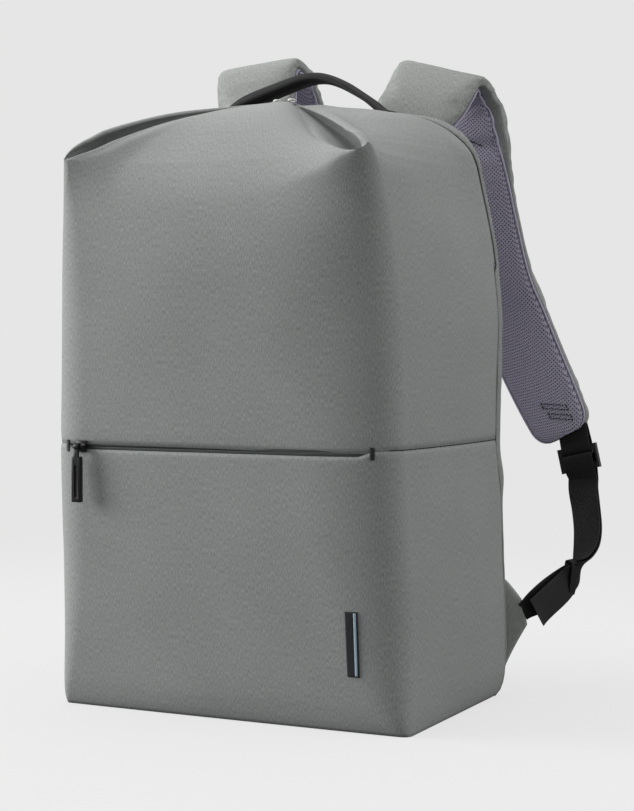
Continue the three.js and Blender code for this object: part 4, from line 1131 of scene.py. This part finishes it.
def mesh_height(a, s):
    """How far the mesh stands over the middle of the strap: it creases past the crest."""
    crown = MESH_CROWN * (1 - abs(a) ** 4) - MESH_EDGE_DROP * ease(abs(a), 0.9, 1.0)
    folds = sum(bell(s.past + fold["slant"] * a, fold["past"], fold["wide"]) for fold in MESH_CREASES)
    return STRAP_FOAM * s.full + MESH_LIFT + STRAP_MESH + crown - MESH_CREASE * folds


def mesh_edge(a, s, sign):
    """How far the mesh reaches from the middle of the strap: less, and unevenly, round the crest."""
    tuck = MESH_TUCK_OUTER if a > 0 else MESH_TUCK_INNER
    tuck += MESH_WAVE * noise.noise(Vector((s.past / MESH_WAVE_LENGTH, a, sign)))
    inside = flare(a, s) if a < 0 else 0
    return s.width / 2 + inside - MESH_MARGIN - between(s.past, *TUCK_SPAN) * tuck


def make_strap_pad(name, sign, stations):
    """The strap's outer cloth round its foam, swelled between the seams and puckered at the crest."""
    count = len(stations) - 1

    def pad(u, v):
        s = stations[round(v * count)]
        a, b = round_ring(u, 0.42)
        uneven = noise.noise(Vector((s.past / PUCKER_LENGTH, sign, 0))) * between(s.past, *PUCKER_SPAN)
        edge = s.width / 2 + flare(a, s) + PUCKER_DEPTH * uneven * ease(abs(a), 0.6, 1)
        depth = STRAP_FOAM if b > 0 else STRAP_CLOTH
        return s.point + s.across * (a * edge) + s.over * (b * depth * s.full)

    mesh = mirrored(closed(laid(44, count, pad, flat=True)), sign)
    cloth = piece("strap_cloth_" + name, mesh, strap_polyester, ["strap_pad_" + name])
    sewn = []
    for vert in cloth.data.vertices:
        spot = Vector((sign * vert.co.x, vert.co.y, vert.co.z)) / MM - Vector((0, BACK_PLANE, 0))
        near = min(range(count + 1), key=lambda i: (stations[i].point - spot).length_squared)
        height = (spot - stations[near].point).dot(stations[near].over)
        if height > -STRAP_SEAM or near < STRAP_SEWN_ROWS or near > count - STRAP_SEWN_ROWS:
            sewn.append(vert.index)
    filled(cloth, sewn, 2.5, 4.0)
    refined(cloth)


def make_strap_mesh(name, sign, stations):
    """The mesh on the wearer's side of a strap, with a binding along both edges."""
    count = len(stations) - 1

    def lining(u, v):
        s = stations[round(v * count)]
        a = lerp(-1, 1, u)
        return s.point + s.across * (a * mesh_edge(a, s, sign)) + s.over * mesh_height(a, s)

    def binding(edge):
        def surface(u, v):
            s = stations[round(v * count)]
            a, b = round_ring(u, 1.0)
            out = edge * (mesh_edge(edge, s, sign) + BINDING_OUT) + a * BINDING_RADIUS
            high = STRAP_FOAM * s.full + BINDING_LIFT + b * BINDING_RADIUS
            return s.point + s.across * out + s.over * high

        return surface

    sheet = mirrored(laid(30, count, lining, flat=True), sign)
    bmesh.ops.reverse_faces(sheet, faces=sheet.faces)
    solids = ["strap_mesh_" + name]
    piece("strap_lining_" + name, sheet, lavender_mesh, solids, thickness=STRAP_MESH)
    for edge, label in ((-1, "inner"), (1, "outer")):
        trim = mirrored(closed(laid(8, count, binding(edge))), sign)
        piece("strap_binding_" + label + "_" + name, trim, lavender_binding)


def make_strap_stitches(name, sign, stations):
    """Black stitches on a strap's mesh: two boxes near its end and a seam past its crest."""

    def on_mesh(aside, rest):
        s = min(stations, key=lambda station: abs(station.rest - rest))
        spot = s.point + s.across * aside + s.along * (s.rest - rest)
        return spot + s.over * (mesh_height(2 * aside / s.width, s) + STITCH_LIFT), s.over

    rows = []
    for low, high, left, right in STITCH_BOXES:
        corners = [(left, low), (right, low), (right, high), (left, high), (left, low)]
        for (x0, r0), (x1, r1) in zip(corners, corners[1:]):
            line = [(lerp(x0, x1, k / 6), lerp(r0, r1, k / 6)) for k in range(7)]
            rows += spaced([on_mesh(x, rest - BOX_SLANT * x) for x, rest in line], BOX_PITCH)
    crest = stations[0].rest + stations[0].past
    seam = [(lerp(*MESH_SEAM_ASIDE, k / 8), crest - lerp(*MESH_SEAM_PAST, k / 8)) for k in range(9)]
    rows += spaced([on_mesh(x, rest) for x, rest in seam], MESH_SEAM_PITCH)
    flip = Vector((sign, 1, 1))
    rows = [(middle * flip, along * flip, over * flip) for middle, along, over in rows]
    stitched("strap_stitches_" + name, rows, black_thread, STITCH_LENGTH, STITCH_WIDTH)


def lock_point(down, front):
    return LOCK_CENTRE + LOCK_DOWN * down + LOCK_FRONT * front


def turn_round(bar, towards, away):
    """The way of a web round a bar of the lock; away is where its two layers start, counted from the bar."""
    clear = LOCK_THICK / 2 + GAP + WEB_THICK / 2
    beyond = LOCK_BAR / 2 + GAP + WEB_THICK / 2 + WEB_SLACK
    turns = [math.pi * i / 10 for i in range(11)]
    arc = [(math.sin(t) ** 0.8, math.copysign(abs(math.cos(t)) ** 0.6, math.cos(t))) for t in turns]
    path = [(-away / beyond, 1), *arc, (-away / beyond, -1)]
    return [lock_point(bar + towards * reach * beyond, front * clear) for reach, front in path]


def web_along(path):
    """Stations of a web that lies square across the lock."""
    return [WebStation(*station[:3]) for station in along_line(path, [LOCK_ACROSS] * len(path))]


def web_tape(stations):
    """A flat web with soft edges along its stations."""
    last = len(stations) - 1

    def surface(u, v):
        s = stations[round(v * last)]
        a, b = round_ring(u, 0.35)
        return s.point + s.across * (a * s.gathered * WEB_WIDTH / 2) + s.over * (b * WEB_THICK / 2)

    return closed(laid(20, last, surface))


def threaded(points, steps):
    """More points on a smooth curve through the given ones."""
    rows = table("x y z", points)
    count = (len(points) - 1) * steps
    return [Vector([at(rows, "row", name, i / steps) for name in "xyz"]) for i in range(count + 1)]


def make_lock(name, sign):
    """The ladder lock, and the short web that holds it to the strap's end."""
    lock = softened("ladder_lock_" + name, 1.7, 3)
    piece("ladder_lock_body_" + name, lock, black_acetal, ["ladder_lock_" + name])
    start = -LOCK_BAR / 2 - LOCK_PITCH - LOOP_LENGTH
    ends = [lock_point(start, front) for front in (LOOP_SPREAD, -LOOP_SPREAD)]
    path = [ends[0], *turn_round(-LOCK_PITCH, 1, LOCK_BAR), ends[1]]
    loop = mirrored(web_tape(web_along(path)), sign)
    piece("strap_loop_web_" + name, loop, black_webbing, ["strap_loop_" + name])


def make_web(name, sign):
    """The adjuster web from its tab up to the lock, round the bar and down again as a loose tail."""
    points = threaded([(row["x"], row["y"], row["z"]) for row in WEB_LINE], WEB_STEPS)
    widths = threaded([(row["wx"], row["wy"], row["wz"]) for row in WEB_LINE], WEB_STEPS)
    stations = along_line(points, widths)
    tail, main = [], []
    for i, s in enumerate(stations[: round(TAIL_END * WEB_STEPS) + 1]):
        loose = max(i / WEB_STEPS - TAIL_FREE, 0) / (TAIL_END - TAIL_FREE)
        shift = s.over * (-WEB_LAYERS / 2 - TAIL_AWAY * loose**1.5) - s.across * (TAIL_DROP * loose)
        tail.append(WebStation(s.point + shift, s.across, -s.over))
    turn = web_along(turn_round(0, -1, LOCK_PITCH + LOCK_BAR / 2 + 1)[::-1])
    for i, s in enumerate(stations):
        gathered = 1 - WEB_GATHER * ease(i / (len(stations) - 1), 0.82, 1)
        main.append(WebStation(s.point + s.over * (WEB_LAYERS / 2), s.across, s.over, gathered))
    web = mirrored(web_tape(tail[::-1] + turn + main), sign)
    piece("adjuster_web_tape_" + name, web, black_webbing, ["adjuster_web_" + name])

    held = stations[KEEPER_ROW * WEB_STEPS]
    reach = (held.across - held.along * KEEPER_SKEW).normalized()
    wide = held.over.cross(reach)

    def band(u, v):
        """The keeper, a band that lies askew round both layers of the web."""
        a, b = round_ring(u, 0.3)
        ring = reach * (a * (WEB_WIDTH / 2 + KEEPER_ROOM)) + held.over * (b * KEEPER_HALF_DEPTH)
        return held.point + ring + wide * lerp(-KEEPER_HALF_WIDTH, KEEPER_HALF_WIDTH, v)

    ring = mirrored(closed(laid(48, 6, band), caps=False), sign)
    solids = ["web_keeper_" + name]
    piece("web_keeper_loop_" + name, ring, black_webbing, solids, thickness=1.0)


def make_tab(name, sign):
    """The cloth triangle that holds the web in the seam of the lower rear corner."""

    def surface(u, v):
        a, b = round_ring(u, 0.45)
        low = lerp(TAB_BOTTOM, TAB_TIP - TAB_TIP_DOWN, v**0.85)
        high = lerp(TAB_TOP, TAB_TIP + TAB_TIP_UP, v**1.2)
        share = (a + 1) / 2
        x = TAB_INNER + TAB_REACH * v * (1 - TAB_SLANT * share)
        thick = lerp(TAB_THICK, TAB_THICK * TAB_THINNED, v)
        return Vector((x, TAB_Y + TAB_THICK / 2 + b * thick / 2 + TAB_LEAN * v, lerp(low, high, share)))

    triangle = mirrored(closed(laid(48, 16, surface)), sign)
    piece("anchor_tab_cloth_" + name, triangle, strap_polyester, ["anchor_tab_" + name])


def make_cord_loops():
    """The loops of cord on the top zip's sliders."""
    cord, loop, hang, tilt = 0.8, 2.8, 1.4, -0.3
    upright = Matrix.Rotation(math.pi / 2, 4, "X")
    for name in ("left", "right"):
        low, high = (corner / MM - Vector((0, BACK_PLANE, 0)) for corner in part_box("main_zip_pull_" + name))
        middle = (low + high) / 2 - Vector((0, 0, hang))
        mesh = bmesh.new()
        circle = bmesh.ops.create_circle(mesh, segments=10, radius=cord, matrix=upright)
        bmesh.ops.translate(mesh, vec=(loop, 0, 0), verts=circle["verts"])
        bmesh.ops.spin(
            mesh,
            geom=mesh.edges[:] + mesh.verts[:],
            cent=(0, 0, 0),
            axis=(0, 0, 1),
            angle=2 * math.pi,
            steps=28,
            use_merge=True,
        )
        bmesh.ops.recalc_face_normals(mesh, faces=mesh.faces)
        turn = Matrix.Translation(middle) @ Matrix.Rotation(tilt, 4, "X")
        bmesh.ops.transform(mesh, matrix=turn, verts=mesh.verts)
        piece("top_zip_cord_" + name, mesh, pale_cord, ["main_zip_pull_" + name])


# Studio


def make_floor():
    """Pale paper. Its glow keeps it even up to the horizon and falls in part on the bag; a faint shadow lies
    near the bag."""
    paper, tree = material("studio_paper")
    white = ink("#ffffff")
    place = node(tree, "TexCoord").outputs["Object"]
    grain = node(tree, "TexNoise", {"Vector": place, "Scale": 3.0}).outputs["Fac"]
    greys = {"Factor": grain, 6: ink("#686868"), 7: ink("#6c6c6c")}
    tone = node(tree, "Mix", greys, data_type="RGBA").outputs[2]
    seen = node(tree, "LightPath").outputs["Is Camera Ray"]
    share = node(tree, "MapRange", {"Value": seen, "To Min": PAPER_BOUNCE}).outputs[0]
    glow, bright = (
        node(tree, "Math", {0: share, 1: strength}, operation="MULTIPLY").outputs[0]
        for strength in (PAPER_GLOW, PAPER_WHITE)
    )
    near = node(tree, "BsdfPrincipled", {
        "Base Color": tone,
        "Roughness": 1.0,
        "Specular IOR Level": 0.0,
        "Emission Color": white,
        "Emission Strength": glow,
    })
    far = node(tree, "Emission", {"Color": white, "Strength": bright})
    away = node(tree, "VectorMath", {0: place}, operation="LENGTH").outputs["Value"]
    metres = {"Value": away, "From Min": 0.35, "From Max": 1.5}
    fade = node(tree, "MapRange", metres, interpolation_type="SMOOTHSTEP").outputs[0]
    both = node(tree, "MixShader", {0: fade, 1: near.outputs[0], 2: far.outputs[0]})
    node(tree, "OutputMaterial", {"Surface": both.outputs[0]})
    ground = bmesh.new()
    bmesh.ops.create_circle(ground, segments=64, radius=30.0, cap_ends=True)
    data = bpy.data.meshes.new("studio_floor")
    ground.to_mesh(data)
    ground.free()
    data.materials.append(paper)
    floor = bpy.data.objects.new("studio_floor", data)
    bpy.context.scene.collection.objects.link(floor)


def make_lights():
    """Soft boxes, and air that is as bright as the paper to the eye."""
    world = bpy.data.worlds.new("studio_air")
    bpy.context.scene.world = world
    world.use_nodes = True
    air = world.node_tree
    air.nodes.clear()
    cast, seen = (
        node(air, "Background", {"Color": ink("#ffffff"), "Strength": strength}).outputs[0]
        for strength in (AIR_LIGHT, PAPER_WHITE)
    )
    ray = node(air, "LightPath").outputs["Is Camera Ray"]
    sky = node(air, "MixShader", {0: ray, 1: cast, 2: seen})
    node(air, "OutputWorld", {"Surface": sky.outputs[0]})
    for name, place, size, power in (
        ("front_left_softbox", (-3150, -1450, 1200), 2.4, 158),
        ("top_softbox", (-100, 0, 1900), 1.6, 12),
        ("right_softbox", (1700, 150, 700), 1.4, 10),
    ):
        light = bpy.data.lights.new(name, "AREA")
        light.shape = "DISK"
        light.size = size
        light.energy = power
        lamp = bpy.data.objects.new(name, light)
        lamp.location = (Vector(place) + Vector((0, BACK_PLANE, 0))) * MM
        aim = Vector((0, BACK_PLANE - 100, 230)) * MM - lamp.location
        lamp.rotation_euler = aim.to_track_quat("-Z", "Y").to_euler()
        bpy.context.scene.collection.objects.link(lamp)


def make_camera():
    level = math.cos(CAMERA_PITCH)
    back = Vector((math.sin(CAMERA_YAW) * level, -math.cos(CAMERA_YAW) * level, math.sin(CAMERA_PITCH)))
    right = Vector((math.cos(CAMERA_YAW), math.sin(CAMERA_YAW), 0))
    up = back.cross(right)
    lens = bpy.data.cameras.new("picture_camera")
    lens.sensor_width = SENSOR
    lens.lens = FOCAL_PIXELS * SENSOR / PICTURE_HEIGHT
    camera = bpy.data.objects.new("picture_camera", lens)
    turn = Matrix((right, up, back)).transposed().to_4x4()
    camera.matrix_world = Matrix.Translation((CAMERA_PLACE + Vector((0, BACK_PLANE, 0))) * MM) @ turn
    bpy.context.scene.collection.objects.link(camera)
    bpy.context.scene.camera = camera
    bpy.context.scene.view_settings.view_transform = "Standard"


make_wrap()
band_line = rear_stations(0)
make_band(band_line)
make_band_stitches(band_line)
make_back_panel(band_line)
make_pocket_zip()
make_label()
make_handle()
for strap_side in STRAP_SIDES:
    strap, strap_sign = strap_side["name"], strap_side["sign"]
    strap_line = strap_stations(strap_side)
    make_strap_pad(strap, strap_sign, strap_line)
    make_strap_mesh(strap, strap_sign, strap_line)
    make_strap_stitches(strap, strap_sign, strap_line)
    make_lock(strap, strap_sign)
    make_web(strap, strap_sign)
    make_tab(strap, strap_sign)
make_cord_loops()
make_floor()
make_lights()
make_camera()
